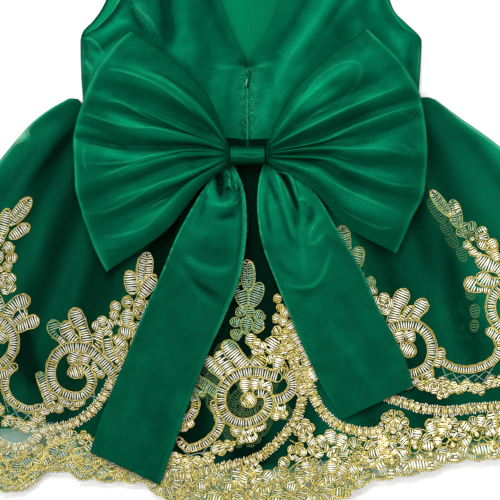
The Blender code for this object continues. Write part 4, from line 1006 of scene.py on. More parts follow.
def lip_shift(gx, gy, left):
    """Sideways pull of a panel edge so the seam closes below the slider."""
    k = ramp((gy - 74.0) / 8.0)
    if left:
        near = ramp((gx - (ZIP["x"] - 9.0)) / 8.0)
        return gx + near * k * (ZIP["x"] + 1.1 - 246.6)
    near = ramp(((ZIP["x"] + 9.0) - gx) / 8.0)
    return gx - near * k * (248.6 - ZIP["x"] - 0.5)


def bodice_height(gx, gy, left):
    """Upper face of the back bodice, mm."""
    inner = near_zip(left)
    outer = BACK_L_OUTER if left else BACK_R_OUTER
    ty = np.asarray(outer, float)
    ox = curve(ty[:, 2], ty[:, 1], gy)
    ti = np.asarray(inner, float)
    ix = curve(ti[:, 2], ti[:, 1], gy)
    puff = bodice_puff(gx, gy, ox if left else np.full_like(gx, -1e3),
                       ox if not left else np.full_like(gx, 1e4))
    d_out = np.abs(gx - ox)
    d_in = np.maximum((ix - gx) if left else (gx - ix), 0)
    room = ramp(np.minimum(d_out, d_in * 1.3) / 12.0) * ramp((gy + 115.0) / 16.0)
    z = Z_BACK + WALL * 0.85 + puff
    z = z + relief(gx, gy, FOLDS_BACK_LEFT if left else FOLDS_BACK_RIGHT) * (0.25 + 0.75 * room)
    z = z + shade_edges(gx, gy, 21 if left else 31)
    z = z + relief(gx, gy, ZIP_PUCKERS)
    # both edges stand up against the coil and pucker; the left one laps over it
    if left:
        k = ramp((gy - 76.0) / 8.0) * np.exp(-((gx - ZIP["x"]) / 1.5) ** 4)
        z = z * (1 - k) + k * (6.85 + 0.25 * value_noise(gx * 0.3, gy, 2.2, 51))
    else:
        k = ramp((gy - 76.0) / 8.0) * np.exp(-((gx - ZIP["x"] - 0.4) / 1.4) ** 2)
        z = z * (1 - k) + k * 5.3
    near = ramp((gy - 70.0) / 10.0) * np.exp(-((d_in - 4.0) / 6.0) ** 2)
    z = z + 0.28 * near * value_noise(gx, gy, 3.6, 53) + 0.12 * near * value_noise(gx, gy, 1.6, 55)
    # the rolled V edge and the bound armhole stand a little proud
    vee = ramp((70.0 - gy) / 6.0)
    z = z + 0.05 * vee * np.exp(-((d_in - 1.4) / 1.4) ** 2) + 0.25 * np.exp(-((d_out - 1.6) / 1.1) ** 2)
    z = z - 0.2 * np.exp(-((d_out - 3.8) / 1.2) ** 2)
    return np.maximum(z, Z_BACK + 0.45), d_in, d_out


def build_back(left):
    inner = near_zip(left)
    outer = BACK_L_OUTER if left else BACK_R_OUTER
    name = "back_left" if left else "back_right"
    v = np.linspace(0, 1, 205)
    u = np.concatenate([np.linspace(0, 0.90, 104), np.linspace(0.90, 1, 50)[1:]])
    if not left:
        u = 1 - u[::-1]
    first, last = (outer, inner) if left else (inner, outer)
    V, U = np.meshgrid(v, u, indexing="ij")
    gx, gy = coons(line_fn((first[0][1], first[0][2]), (last[0][1], last[0][2])),
                   waist_fn(first[-1][1], last[-1][1]), edge_fn(first), edge_fn(last), U, V)
    gx = lip_shift(gx, gy, left)
    z, d_in, d_out = bodice_height(gx, gy, left)
    # painted shade in the hollows of the folds and painted highlight on their crests
    tone = 0.5 + (hollows(z, 16, 10, 1.1) - 0.5) * 0.8
    # painted shade in a soft band along the V edge
    v_edge = np.exp(-((d_in - 9.0) / 8.5) ** 2) * ramp((74.0 - gy) / 12.0)
    tone = tone - 0.12 * v_edge
    tone = tone + 0.05 * value_noise(gx, gy, 12.0, 44) + 0.04 * value_noise(gx, gy, 4.0, 45)
    # painted highlight, with painted glints, along the puckered zip seam
    seam = ramp((gy - 90.0) / 12.0) * np.exp(-((gx - ZIP["x"] - 0.2 - 1.3 * value_noise(gx * 0, gy, 5.0, 43)) / 1.5) ** 2)
    tone = tone + seam * (0.05 + 0.50 * value_noise(gx * 0.6, gy, 1.6, 46))
    # painted shade in thin lines on both sides of the zip
    beside = ramp((gy - 90.0) / 10.0) * (np.exp(-((gx - ZIP["x"] + 2.4) / 0.9) ** 2) + np.exp(-((gx - ZIP["x"] - 2.6) / 0.9) ** 2))
    tone = tone - 0.16 * beside
    # painted glints near the zip (through extra), with darker painted specks among them
    spark = ramp((gy - 66) / 8.0) * ramp((150 - gy) / 40.0) * np.exp(-((gx - 249.0) / 10.0) ** 2)
    tone = tone + spark * (0.06 - 0.22 * np.maximum(value_noise(gx, gy, 6.0, 49), 0))
    tone = tone + 0.06 * ramp((gy - 60) / 30.0)
    # painted shade in a strip left of the zip above the waist
    dark = np.exp(-(((gx - 243.4) / 2.2) ** 2)) * ramp((gy - 112) / 8.0) * ramp((140 - gy) / 6.0)
    tone = tone - 0.30 * dark
    # painted shade in the puckers beside the zip
    for dx, dy in ((245, 97), (256, 103), (243, 110), (250, 90), (240, 88)):
        tone = tone - 0.30 * np.exp(-(((gx - dx) / 2.4) ** 2 + ((gy - dy) / 2.0) ** 2))
    # painted shade at the point of the V above the slider
    tip = np.exp(-(((gx - 247.5) / 9.0) ** 2 + ((gy - 63.0) / 7.0) ** 2)) * ramp((69.0 - gy) / 3.0)
    tone = tone - 0.45 * tip
    if left:
        # painted shade in the folds and crumples, and darker towards the shoulders
        tone = tone - 0.26 * np.exp(-((gx - 167) / 9.0) ** 2) * ramp((62 - gy) / 20.0)
        tone = tone - 0.03 * np.exp(-((gx - 185) / 9.0) ** 2) * ramp((55 - gy) / 20.0)
        tone = tone + relief(gx, gy, SHADES_BACK_LEFT)
        tone = tone - 0.12 * np.exp(-(((gx - 146) / 14.0) ** 2 + ((gy - 26) / 26.0) ** 2))
        tone = tone - 0.10 * ramp((70.0 - gy) / 40.0)
        # painted glints on the crumples by the armhole and low by the side seam
        glint = np.exp(-(((gx - 142 - 0.5 * (gy - 14)) / 7.0) ** 2 + ((gy - 14) / 16.0) ** 2))
        extra = 0.62 * glint
        low = np.exp(-(((gx - 88) / 8.0) ** 2 + ((gy - 66) / 20.0) ** 2))
        extra = extra + 0.45 * low
        line = relief(gx, gy, LINES_BACK_LEFT)
    else:
        # painted shade in two fold hollows, then the listed shade lines
        tone = tone - 0.20 * np.exp(-(((gx - 345) / 16.0) ** 2 + ((gy - 32) / 26.0) ** 2))
        tone = tone - 0.16 * np.exp(-(((gx - 376) / 12.0) ** 2 + ((gy - 22) / 22.0) ** 2))
        tone = tone + 0.05 + relief(gx, gy, SHADES_BACK_RIGHT)
        # painted glints by the side seam and right of the V point
        extra = 0.35 * np.exp(-(((gx - 417) / 5.0) ** 2 + ((gy - 60) / 22.0) ** 2)) + 0.4 * np.exp(-(((gx - 268) / 9.0) ** 2 + ((gy - 66) / 3.0) ** 2))
        line = relief(gx, gy, LINES_BACK_RIGHT)
    # painted highlight line along the armhole edge
    line = line + 0.95 * np.exp(-(d_out / 0.9) ** 2) * ramp((36 - gy) / 12.0)
    # painted glints along the zip
    extra = extra + 1.0 * spark + 0.9 * seam + 0.25 * np.exp(-((gx - 248.0) / 3.0) ** 2) * ramp((gy - 96) / 10.0)
    o = grid_piece(name, gx, gy, z, SATIN_BODICE, tone=np.clip(tone, 0, 1), thick=0.5, extra=np.clip(extra, 0, 1), line=np.clip(line, 0, 1))
    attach(o, "dress")
    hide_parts("bodice_back_left" if left else "bodice_back_right")
    return o


# ------------------------------------------------------------------------ bow
def loop_fields(rays, s, t, neck_x):
    r = np.asarray(rays, float)
    at = np.linspace(0, 1, len(r))
    cols = [curve(at, r[:, k], t[0]) for k in range(r.shape[1])]
    neck_y, x1, y1, x2, y2, x3, y3 = cols[:7]
    n = len(t[0])
    st = np.array([0, 1 / 3, 2 / 3, 1.0])
    X = np.broadcast_to(np.stack([np.full(n, neck_x), x1, x2, x3], -1), (len(s), n, 4))
    Y = np.broadcast_to(np.stack([neck_y, y1, y2, y3], -1), (len(s), n, 4))
    H = np.broadcast_to(np.stack([np.full(n, 0.3)] + cols[7:], -1), (len(s), n, 6))
    return curve_rows(st, X, s), curve_rows(st, Y, s), curve_rows(FINE_STATIONS, H, s)


# Painted shade (-) and painted highlight (+) on the gores: amount, centre, radii, turn (degrees).
LOOP_SHADES = [(-0.24, 108, 122, 26, 9, 10), (0.24, 118, 118, 18, 6, 20), (0.12, 150, 100, 24, 8, 30), (0.14, 152, 104, 14, 6, 30), (-0.18, 196, 131, 15, 6, 35), (-0.16, 198, 156, 14, 5, 0),
               (-0.12, 172, 196, 22, 8, -35), (0.12, 112, 152, 24, 5, 5), (-0.10, 108, 196, 20, 8, -12), (0.10, 108, 92, 14, 9, 50),
               (0.44, 318, 98, 17, 9, -35), (-0.10, 358, 118, 20, 6, -20), (0.22, 366, 206, 24, 7, 15), (-0.16, 310, 160, 16, 5, 5),
               (0.10, 388, 132, 20, 8, -8), (-0.12, 350, 178, 22, 6, 14), (0.12, 384, 74, 18, 9, 50), (-0.12, 300, 132, 10, 4, -30)]


def loop_shades(gx, gy):
    t = np.zeros_like(gx)
    for amount, cx, cy, rx, ry, turn in LOOP_SHADES:
        a = math.radians(turn)
        x, y = gx - cx, gy - cy
        t = t + amount * np.exp(-(((x * math.cos(a) + y * math.sin(a)) / rx) ** 2 + ((y * math.cos(a) - x * math.sin(a)) / ry) ** 2))
    return t


def build_loop(name, node, rays, neck_x, marks, seed):
    """A band folded over at its outer end, both layers gathered into the knot."""
    t = np.linspace(0, 1, 214)
    s_bot = np.linspace(0, 1, 7)
    s_top = np.concatenate([[0, 0.006], np.linspace(0.015, 1, 104)])[::-1]

    def layer(svals, lower):
        S, T = np.meshgrid(svals, t, indexing="ij")
        gx, gy, h = loop_fields(rays, S, T, neck_x)
        floor = rest_height(gx, gy) + BOW_REST + WALL
        arch = np.sin(math.pi * T) ** 0.7
        neck_b = 11.4 + 1.8 * arch
        k = ramp(S / 0.22)
        zb = neck_b * (1 - k) + np.maximum(floor, neck_b - 2.0 * k) * k + h
        if lower:
            return gx, gy, zb - 0.4, S, T
        crest = np.clip(h / 6.0, 0, 1)
        gap = (1.2 + 2.4 * arch) * (1 - k) + (1.5 + 1.6 * crest) * k
        z = zb + gap + 0.55
        z = z + relief(gx, gy, [(q * 0.62, max(w * 0.62, 1.0), p) for q, w, p in marks]) * ramp(S / 0.2) * ramp((1 - S) / 0.06)
        # fine pleats fanning out of the knot
        pleat = np.sin(2 * math.pi * (T * 27 + 0.35 * value_noise(T * 60, S * 4, 1.0, seed)))
        z = z + 0.34 * pleat * np.exp(-S / 0.12) * ramp(S / 0.02)
        pleat = np.sin(2 * math.pi * (T * 15 + 0.8 * value_noise(T * 30, S * 2, 1.0, seed + 5)))
        z = z + 0.12 * pleat * np.exp(-((S - 0.30) / 0.22) ** 2)
        z = z + shade_edges(gx, gy, seed, 1.0) * ramp(S / 0.3) * ramp((1 - S) / 0.08)
        z = z - 0.22 * (h - 2.4) * ramp(S / 0.3) * ramp((1 - S) / 0.15)
        return gx, gy, z, S, T

    xb, yb, zb, sb, tb = layer(s_bot, True)
    xt, yt, zt, s2, t2 = layer(s_top, False)
    ex, ey = xb[-1] - xb[-2], yb[-1] - yb[-2]
    ln = np.hypot(ex, ey)
    rad_mm = np.maximum((zt[0] - zb[-1]) / 2, 0.4)
    fx, fy, fz = [], [], []
    for ang in (25, 50, 75, 105, 130, 155):
        a = math.radians(ang)
        out = rad_mm * math.sin(a) / 0.8
        fx.append(xb[-1] + ex / ln * out)
        fy.append(yb[-1] + ey / ln * out)
        fz.append(zb[-1] + rad_mm * (1 - math.cos(a)))
    gx = np.vstack([xb, fx, xt])
    gy = np.vstack([yb, fy, yt])
    z = np.vstack([zb, fz, zt])
    # painted shade in the hollows, painted highlight lines on the sharpest crests, and the listed gore shades
    crisp = [(h, max(w * 0.42, 0.8), p) for h, w, p in marks]
    line = relief(xt, yt, crisp)
    tone_t = 0.53 + (hollows(zt, 3, 12, 1.7) - 0.5) * 0.64 + 0.14 * line + loop_shades(xt, yt)
    # painted shade in the pleats close to the knot
    tone_t = tone_t - 0.30 * np.exp(-s2 / 0.09) * (1 - hollows(zt, 1, 5, 0.5))
    # painted highlight along the outer fold; painted shade close to the neck
    edge = np.exp(-((1 - s2) / 0.012)) * 0.30
    tone_t = np.clip(tone_t + edge + 0.05 * value_noise(xt, yt, 14.0, seed + 9) - 0.10 * np.exp(-s2 / 0.05), 0, 1)
    # the lower layer is painted darker and the fold lighter
    tone = np.vstack([np.full_like(xb, 0.3), np.full((6, len(t)), 0.72), tone_t])
    uv = np.stack([lengths(gx, gy, 0), lengths(gx, gy, 1)], -1)
    # the fold catches a thin light line, and so do the sharpest crests
    lit = 0.34 * np.exp(-((1 - s2) / 0.010)) * (0.4 + 0.6 * value_noise(xt, yt, 11.0, seed + 3)) + 0.18 * np.clip(line, 0, 1)
    lit = np.vstack([np.zeros_like(xb), np.broadcast_to(lit[0], (6, len(t))), lit])
    # painted glints on the sharpest crests
    speck = 0.30 * np.clip(relief(xt, yt, crisp), 0, 1)
    speck = np.vstack([np.zeros_like(xb), np.zeros((6, len(t))), speck])
    o = grid_piece(name, gx, gy, z, SATIN_BOW, tone=tone, uv=uv, thick=0.45, line=np.clip(lit, 0, 1), extra=np.clip(speck, 0, 1))
    me = o.data
    k = len(me.polygons) - 60 * (len(t) - 1) - len(t) // 2
    if me.polygons[k].normal.z < 0:
        me.flip_normals()
    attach(o, "dress")
    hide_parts(node)
    return o


# Painted shade (-) and painted highlight (+) in the folds of the tails below the knot: amount, half width, points.
SHADES_TAIL_LEFT = [
    (-0.85, 3.2, [(216, 168), (218, 178), (219, 189), (222, 198)]),
    (-0.40, 3.2, [(224, 188), (231, 189), (236, 187)]),
    (-0.60, 2.6, [(226, 166), (229, 174), (230, 182)]),
    (-0.45, 4.0, [(238, 176), (239, 192), (236, 206), (228, 214)]),
    (-0.30, 3.0, [(206, 190), (204, 204), (200, 218)]),
    (0.40, 1.6, [(211, 172), (208, 184), (210, 196), (218, 202)]),
    (0.35, 1.4, [(233, 170), (236, 180), (239, 190)]),
    (-0.34, 4.6, [(216, 218), (228, 215), (239, 212)]),
    (-0.34, 4.5, [(222, 184), (226, 194), (231, 196)]),
    (-0.40, 2.4, [(219, 178), (219, 189), (220, 199)]),
    (0.16, 7.0, [(186, 224), (198, 230), (212, 238)]),
    (-0.26, 7.0, [(194, 244), (214, 250), (236, 250)]),
    (0.16, 3.0, [(178, 255), (204, 266), (236, 271)]),
    (-0.10, 4.0, [(184, 272), (200, 286), (222, 296)])]
SHADES_TAIL_RIGHT = [
    (-0.85, 2.4, [(272, 166), (282, 176), (290, 188), (296, 202), (300, 216)]),
    (-0.50, 3.0, [(266, 172), (272, 188), (280, 206)]),
    (-0.40, 4.0, [(276, 196), (284, 216), (290, 236), (300, 246)]),
    (0.50, 1.2, [(280, 165), (288, 171), (294, 180), (298, 192)]),
    (0.45, 1.4, [(278, 176), (285, 188), (291, 202), (296, 216)]),
    (-0.45, 3.0, [(300, 200), (307, 204), (312, 214), (306, 224)]),
    (0.24, 1.4, [(308, 243), (313, 231), (320, 221), (326, 215)]),
    (-0.08, 4.0, [(318, 232), (330, 242), (342, 252)]),
    (0.24, 2.4, [(296, 212), (299, 232), (303, 256), (306, 282)]),
    (-0.30, 3.0, [(264, 196), (266, 216), (270, 238)]),
    (0.14, 1.8, [(281, 283), (298, 287), (313, 285), (322, 276), (328, 261), (333, 245)]),
    (-0.20, 4.0, [(290, 292), (310, 292), (326, 282)])]


# Painted highlight lines on the crinkled rims there.
LINES_TAIL_LEFT = [
    (1.0, 0.8, [(227, 169), (230, 176), (229, 184), (233, 190)]),
    (0.8, 0.7, [(231, 170), (235, 178), (236, 187), (240, 195)]),
    (0.7, 0.8, [(222, 170), (223, 165), (229, 163)]),
    (0.55, 1.0, [(240, 197), (236, 203), (227, 206), (216, 204)])]
LINES_TAIL_RIGHT = [
    (1.0, 0.9, [(273, 171), (281, 172), (289, 175), (293, 182), (295, 190), (299, 199)]),
    (0.8, 0.7, [(266, 163), (276, 163), (284, 167), (291, 173)]),
    (0.7, 0.8, [(277, 176), (283, 184), (288, 196), (290, 206)]),
    (0.42, 2.8, [(305, 204), (310, 204)]),
    (0.5, 0.8, [(320, 212), (313, 226), (310, 238)])]


def build_tail(name, node, table, marks, seed, left):
    r = np.asarray(table, float)
    n = len(r)
    rows = np.linspace(0, n - 1, 250)
    cols = [curve(np.arange(n), r[:, k], rows) for k in range(5)]
    u = np.concatenate([[0, 0.010], np.linspace(0.020, 0.980, 92), [0.990, 1.0]])
    gx = cols[0][:, None] * (1 - u) + cols[2][:, None] * u
    gy = cols[1][:, None] * (1 - u) + cols[3][:, None] * u
    d_edge = np.minimum(u, 1 - u)[None, :] * np.hypot(cols[2] - cols[0], cols[3] - cols[1])[:, None]
    d_end = (1 - rows / (n - 1))[:, None] * np.hypot(r[-1][1] - r[-2][1], r[-1][2] - r[-2][2]) * (n - 1) + 0 * gx
    z = rest_height(gx, gy) + BOW_REST + 0.6 + cols[4][:, None] * np.sin(math.pi * u)[None, :]
    room = ramp(d_edge / 4.0)
    z = z + relief(gx, gy, marks) * (0.35 + 0.65 * room)
    z = z + shade_edges(gx, gy, seed, 0.8)
    # gathers fan out below the knot
    top = rows[:, None] / (n - 1) + 0 * gx
    z = z + 0.6 * np.sin(2 * math.pi * 9 * u)[None, :] * np.exp(-top / 0.045)
    # narrow rolled hems along both sides and the end
    hem = np.exp(-((d_edge - 2.4) / 1.7) ** 2) + np.exp(-((d_end - 2.4) / 1.7) ** 2)
    side = ((u[None, :] > 0.5) if left else (u[None, :] < -1.0)) * 1.0
    strength = 0.25 + 0.75 * side * (1 - ramp((rows[:, None] / (n - 1) - 0.62) / 0.1))
    z = z + (0.16 * hem - 0.24 * np.exp(-((d_edge - 5.0) / 0.8) ** 2)) * strength
    z = z + 0.14 * np.exp(-((d_edge - 2.4) / 1.7) ** 2) * value_noise(gx, gy, 2.2, seed + 8) * strength
    # painted shade in the hollows and the listed fold shades
    tone = hollows(z, 14, 10, 1.2) + relief(gx, gy, SHADES_TAIL_LEFT if left else SHADES_TAIL_RIGHT)
    # painted light: the upper part of each tail lighter than the lower
    upper = 1 - ramp((top - (0.46 if left else 0.40)) / 0.05)
    tone = tone + (0.12 if left else 0.26) * upper - (0.03 if left else -0.06) * (1 - upper)
    if not left:
        # painted highlight on a broad patch of the right tail
        tone = tone + 0.24 * np.exp(-(((gx - 304) / 24.0) ** 2 + ((gy - 262) / 20.0) ** 2)) 
    # random variation, and painted shadow just under the knot
    tone = tone + 0.05 * value_noise(gx, gy, 16.0, seed + 4) - 0.25 * np.exp(-top / 0.03)
    # lighter along the edges and over the rolled hem
    tone = tone + (0.05 + 0.13 * strength) * np.exp(-(d_edge / 1.0) ** 2) + 0.14 * strength * np.exp(-((d_edge - 2.6) / 2.0) ** 2)
    uv = np.stack([lengths(gx, gy, 1), lengths(gx, gy, 0)], -1)
    # painted highlight lines along the edges and on the crinkled rims
    line = 0.95 * np.exp(-((d_edge - 0.8) / 0.9) ** 2) * (1 - ramp((top - 0.60) / 0.15)) * (0.5 + 0.5 * value_noise(gx, gy, 3.0, seed + 6))
    line = line + relief(gx, gy, LINES_TAIL_LEFT if left else LINES_TAIL_RIGHT) * (0.55 + 0.6 * value_noise(gx, gy, 1.8, seed + 7))
    # painted glints on the hem strip and in the hollows near the top
    extra = 0.5 * np.exp(-((d_edge - 2.4) / 2.0) ** 2) * strength * side + 0.35 * np.exp(-((top - 0.10) / 0.09) ** 2) * np.clip(hollows(z, 14, 10, 1.2) - 0.5, 0, 1) * 2
    o = grid_piece(name, gx, gy, z, SATIN_TAIL, tone=np.clip(tone, 0, 1), uv=uv, thick=0.45, line=np.clip(line, 0, 1), extra=np.clip(extra, 0, 1))
    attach(o, "dress")
    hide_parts(node)
    return o


def build_knot():
    """The band round the gathers, a smooth roll with soft tucks at its ends, with painted light and shade round it."""
    nu, nv = 70, 72
    u = np.linspace(-1, 1, nu)
    a = np.linspace(0, 2 * math.pi, nv)
    U, A = np.meshgrid(u, a, indexing="ij")
    half = KNOT["length"] / 2
    end = np.clip((1 - np.abs(U)) / 0.07, 0, 1)
    r = 0.80 + 0.20 * np.sqrt(1 - (1 - end) ** 2)
    r = r * (1 + 0.012 * np.cos(3 * math.pi * U) + 0.02 * np.sin(7 * A + 3 * U) * np.abs(U) ** 3
             + 0.016 * value_noise(U * 6, A * 3, 1.0, 71))
    ny = KNOT["width"] / 2 * r * 0.985
    nz = KNOT["height"] / 2 * r * 0.985
    # band, a little flatter in front, with two soft lengthwise folds
    fold = 1 - 0.05 * np.exp(-((A - 1.95) / 0.12) ** 2) - 0.035 * np.exp(-((A - 1.15) / 0.10) ** 2)
    x = KNOT["x"] + U * half / 0.8 * 1.045
    y_mm = np.cos(A) * ny * fold
    z_mm = KNOT["z"] + np.sin(A) * nz * fold
    gx = x
    gy = KNOT["y"] - y_mm / 0.8
    # painted light and shade round the roll: lit on its upper face, darkest towards its lower edge and underneath
    tone = np.interp(A, [0, 0.45, 0.88, 1.25, 1.65, 2.10, 2.65, 3.2, 6.3], [0.10, 0.20, 0.38, 0.57, 0.52, 0.30, 0.10, 0.03, 0.10])
    # painted shade at the ends and in the two lengthwise folds, with random variation
    tone = tone - 0.14 * (1 - end) - 0.5 * (1 - fold) * 2 + 0.05 * value_noise(U * 5, A * 4, 1.0, 73)
    # painted highlight streak along the top of the roll
    streak = 0.24 * np.exp(-((A - 1.70 - 0.10 * np.sin(4.0 * U + 0.6)) / 0.10) ** 2) * ramp((1.0 - np.abs(U)) / 0.2)
    uv = np.stack([U * half * MM, A * KNOT["width"] / 2 * MM], -1)
    o = grid_piece("knot_band", gx, gy, z_mm, SATIN_BOW, tone=np.clip(tone, 0, 1), uv=uv, thick=0, line=streak)
    bm = bmesh.new()
    bm.from_mesh(o.data)
    bmesh.ops.remove_doubles(bm, verts=bm.verts[:], dist=1e-6)
    bmesh.ops.recalc_face_normals(bm, faces=bm.faces[:])
    bm.to_mesh(o.data)
    bm.free()
    o.data.shade_smooth()
    o.data.set_sharp_from_angle(angle=math.radians(50))
    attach(o, "dress")
    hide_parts("bow_knot")
    return o


# ---------------------------------------------------------------------- skirt
FINE_RNG = np.random.default_rng(407)
FINE_SKIRT = [(a + FINE_RNG.uniform(-0.8, 0.8), FINE_RNG.uniform(0.28, 0.75), FINE_RNG.uniform(-0.9, 1.0),
               FINE_RNG.uniform(0, 60), FINE_RNG.uniform(150, 420))
              for a in np.arange(-33.5, 36.5, 1.45)]
VIS_SCALLOPS, VIS_DEPTH = 36, 3.4


def sheer_xy(u, v):
    """Outline and inside of the mesh, with its small scallops."""
    x, y = skirt_xy(u, v, scallop=False)
    w = (u - GATHER_U) / (1 - 2 * GATHER_U)
    lobe = 1 - np.abs(np.cos(math.pi * VIS_SCALLOPS * w + 0.5 * np.sin(2 * math.pi * 5 * w)))
    cut = VIS_DEPTH * lobe * ramp((v - 0.93) / 0.07)
    dx, dy = x - FAN_X, y - FAN_Y
    r = np.hypot(dx, dy)
    return x - dx / r * cut, y - dy / r * cut


def skirt_fine(gx, gy, share=1.0):
    """Small soft folds that start and end unevenly, mm."""
    phi = np.degrees(np.arctan2(gx - FAN_X, gy - FAN_Y))
    d = np.maximum(gy - waist_y(gx), 0.0)
    z = np.zeros_like(phi)
    for angle, width, h, start, end in FINE_SKIRT:
        lean = 0.35 * math.sin(angle * 1.7) * d / 100.0
        z = z + h * np.exp(-((phi - angle - lean) / width) ** 2) * ramp((d - start + 30) / 60.0) * (1 - 0.75 * ramp((d - end + 60) / 120.0))
    gather = np.sin(2 * math.pi * phi / 0.62 + 2.2 * value_noise(phi * 3, d * 0.05, 1.0, 90))
    z = z + 0.35 * gather * np.exp(-d / 26.0) * ramp(d / 4.0)
    return share * z


def net_height(gx, gy):
    """Face of the back mesh, mm."""
    under, over = skirt_puffs(gx, gy)
    share = skirt_share(gx, gy)
    z = Z_LACE_BACK + 0.55 + under + over + skirt_fine(gx, gy) * (0.25 + 0.75 * share) * 0.8
    return np.maximum(z, Z_LACE_BACK + 0.35)


def lining_height(gx, gy):
    under, over = skirt_puffs(gx, gy)
    return Z_BACK + 0.55 + under + 0.3 * skirt_fine(gx, gy) * skirt_share(gx, gy)


def front_net_height(gx, gy):
    return 0.92 + 0.05 * value_noise(gx, gy, 14.0, 61)


def net_grid(nu, nv):
    k = GATHER_U
    u = np.concatenate([np.linspace(0, k, 12)[:-1], np.linspace(k, 1 - k, nu), np.linspace(1 - k, 1, 12)[1:]])
    v = np.concatenate([np.linspace(0, 0.12, 16)[:-1], np.linspace(0.12, 0.92, nv)[:-1], np.linspace(0.92, 1, 12)])
    return np.meshgrid(v, u, indexing="ij")


def lining_inset(v, left):
    """Share of the width where the lining's side seam runs inside the mesh edge."""
    if left:
        return 0.0016 + 0.0152 * np.exp(-((v - 0.180) / 0.019) ** 2) + 0.010 * v
    return 0.004 + 0.004 * np.exp(-((v - 0.13) / 0.08) ** 2) + 0.010 * v


# Skirt shades: how light the net looks at points across it, from the bow's shadow
# between the tails (0) to the lit gathers at the sides.
SKIRT_SHADES = [(-60, 0.28), (0, 0.22), (40, 0.12), (90, 0.12), (150, 0.05), (205, 0.02), (250, 0.0), (290, 0.04),
                (330, 0.42), (380, 0.16), (430, 0.16), (460, 0.20), (500, 0.42), (560, 0.46)]
# Broad painted light (+) and painted shade (-) streaks: strength, half width, points.
SKIRT_STREAKS = [(-0.14, 5, [(80, 124), (60, 146), (36, 176), (22, 200)]),
                 (0.24, 8, [(66, 118), (40, 134), (14, 158), (-8, 186)]),
                 (0.07, 7, [(54, 176), (44, 210), (38, 250), (36, 290)]),
                 (0.07, 5, [(84, 244), (78, 280), (66, 320)]),
                 (0.06, 4, [(106, 262), (100, 300), (92, 330)]),
                 (-0.22, 12, [(16, 330), (28, 360), (36, 395)]),
                 (0.70, 7.5, [(450, 112), (474, 124), (492, 142), (504, 168)]),
                 (0.12, 9, [(436, 150), (458, 182), (480, 220), (496, 262)]),
                 (-0.08, 7, [(430, 176), (444, 214), (452, 256), (452, 300)]),
                 (0.14, 8, [(424, 206), (436, 250), (442, 300), (448, 350)]),
                 (0.08, 6, [(376, 250), (384, 290), (390, 330)]),
                 (0.10, 6, [(468, 230), (480, 280), (486, 330)]),
                 (-0.06, 6, [(470, 300), (474, 340), (474, 380)])]
LINING_HEM = [(-160, 385), (-100, 398), (-60, 418), (0, 427), (25, 424), (45, 421), (60, 430), (90, 445), (130, 455),
              (170, 461), (250, 469), (285, 468), (306, 461), (340, 458), (400, 453), (450, 445), (500, 438), (560, 424), (620, 396), (660, 380)]


def net_tones(gx, gy, U, V, tone):
    """Shade of the net, and how much it covers."""
    sh = np.asarray(SKIRT_SHADES, float)
    d = np.maximum(gy - waist_y(gx), 0.0)
    # shades follow the folds, which fan out from the waist
    base_x = 250.0 + (gx - 250.0) * (1.0 + 0.10 * (300.0 - gy) / 200.0)
    light = np.interp(base_x, sh[:, 0], sh[:, 1]) + 0.18 * tone
    light = light + relief(gx, gy, SKIRT_STREAKS)
    # painted shadow of the bow down the middle of the skirt
    light = light - 0.16 * np.exp(-((gx - 250.0) / 60.0) ** 2) * ramp((420 - gy) / 120.0)
    rim = np.exp(-np.minimum(U, 1 - U) / 0.010) * ramp((np.abs(gx - 250) - 120) / 60)
    light = light + 0.45 * rim
    lh = np.asarray(LINING_HEM, float)
    past = ramp((gy - np.interp(gx, lh[:, 0], lh[:, 1]) + 5.0) / 9.0)
    l_in, r_in = lining_inset(V, True), lining_inset(V, False)
    past = np.maximum(past, np.maximum(ramp((l_in - U) / 0.006 + 0.5), ramp((U - 1 + r_in) / 0.006 + 0.5)))
    light = np.clip(light, 0, 1) * (1 - past) + (0.50 + 0.4 * tone) * past
    patch = np.exp(-(((gx - 24) / 26.0) ** 2 + ((gy - 138) / 22.0) ** 2))
    light = light + 0.35 * past * patch + 0.35 * past * ramp((gx - 440) / 40.0) * ramp((260 - gy) / 80.0)
    # painted glints in a speckled patch on the right
    light = light + 0.30 * np.exp(-(((gx - 466) / 20.0) ** 2 + ((gy - 322) / 36.0) ** 2)) * np.maximum(value_noise(gx, gy, 2.6, 92) - 0.1, 0)
    cover = 0.38 + 0.36 * tone + 0.40 * np.exp(-V / 0.05) + 0.50 * rim
    hips = ramp((260 - gy) / 70.0)
    cover = cover * (1 - past) + past * (0.08 + 0.74 * hips + 0.40 * rim + 0.34 * tone)
    # at the left hip the net closes softly over the end of the lining
    deep = ramp((l_in - U) / 0.012)
    hip = ramp(patch * 2.2 - 0.25)
    light = light * (1 - hip * past) + hip * past * (0.42 + 0.50 * deep)
    cover = cover * (1 - hip * past) + hip * past * (0.99 - 0.26 * deep)
    # and its turned edge there is a pale line
    edge = np.exp(-((U - 0.0022) / 0.0022) ** 2) * ramp((gx - 26.0) / 14.0) * ramp((72.0 - gx) / 16.0)
    light = light + (0.86 - light) * edge
    cover = np.maximum(cover, 0.96 * edge)
    return np.clip(light, 0, 1), np.clip(cover, 0, 1)


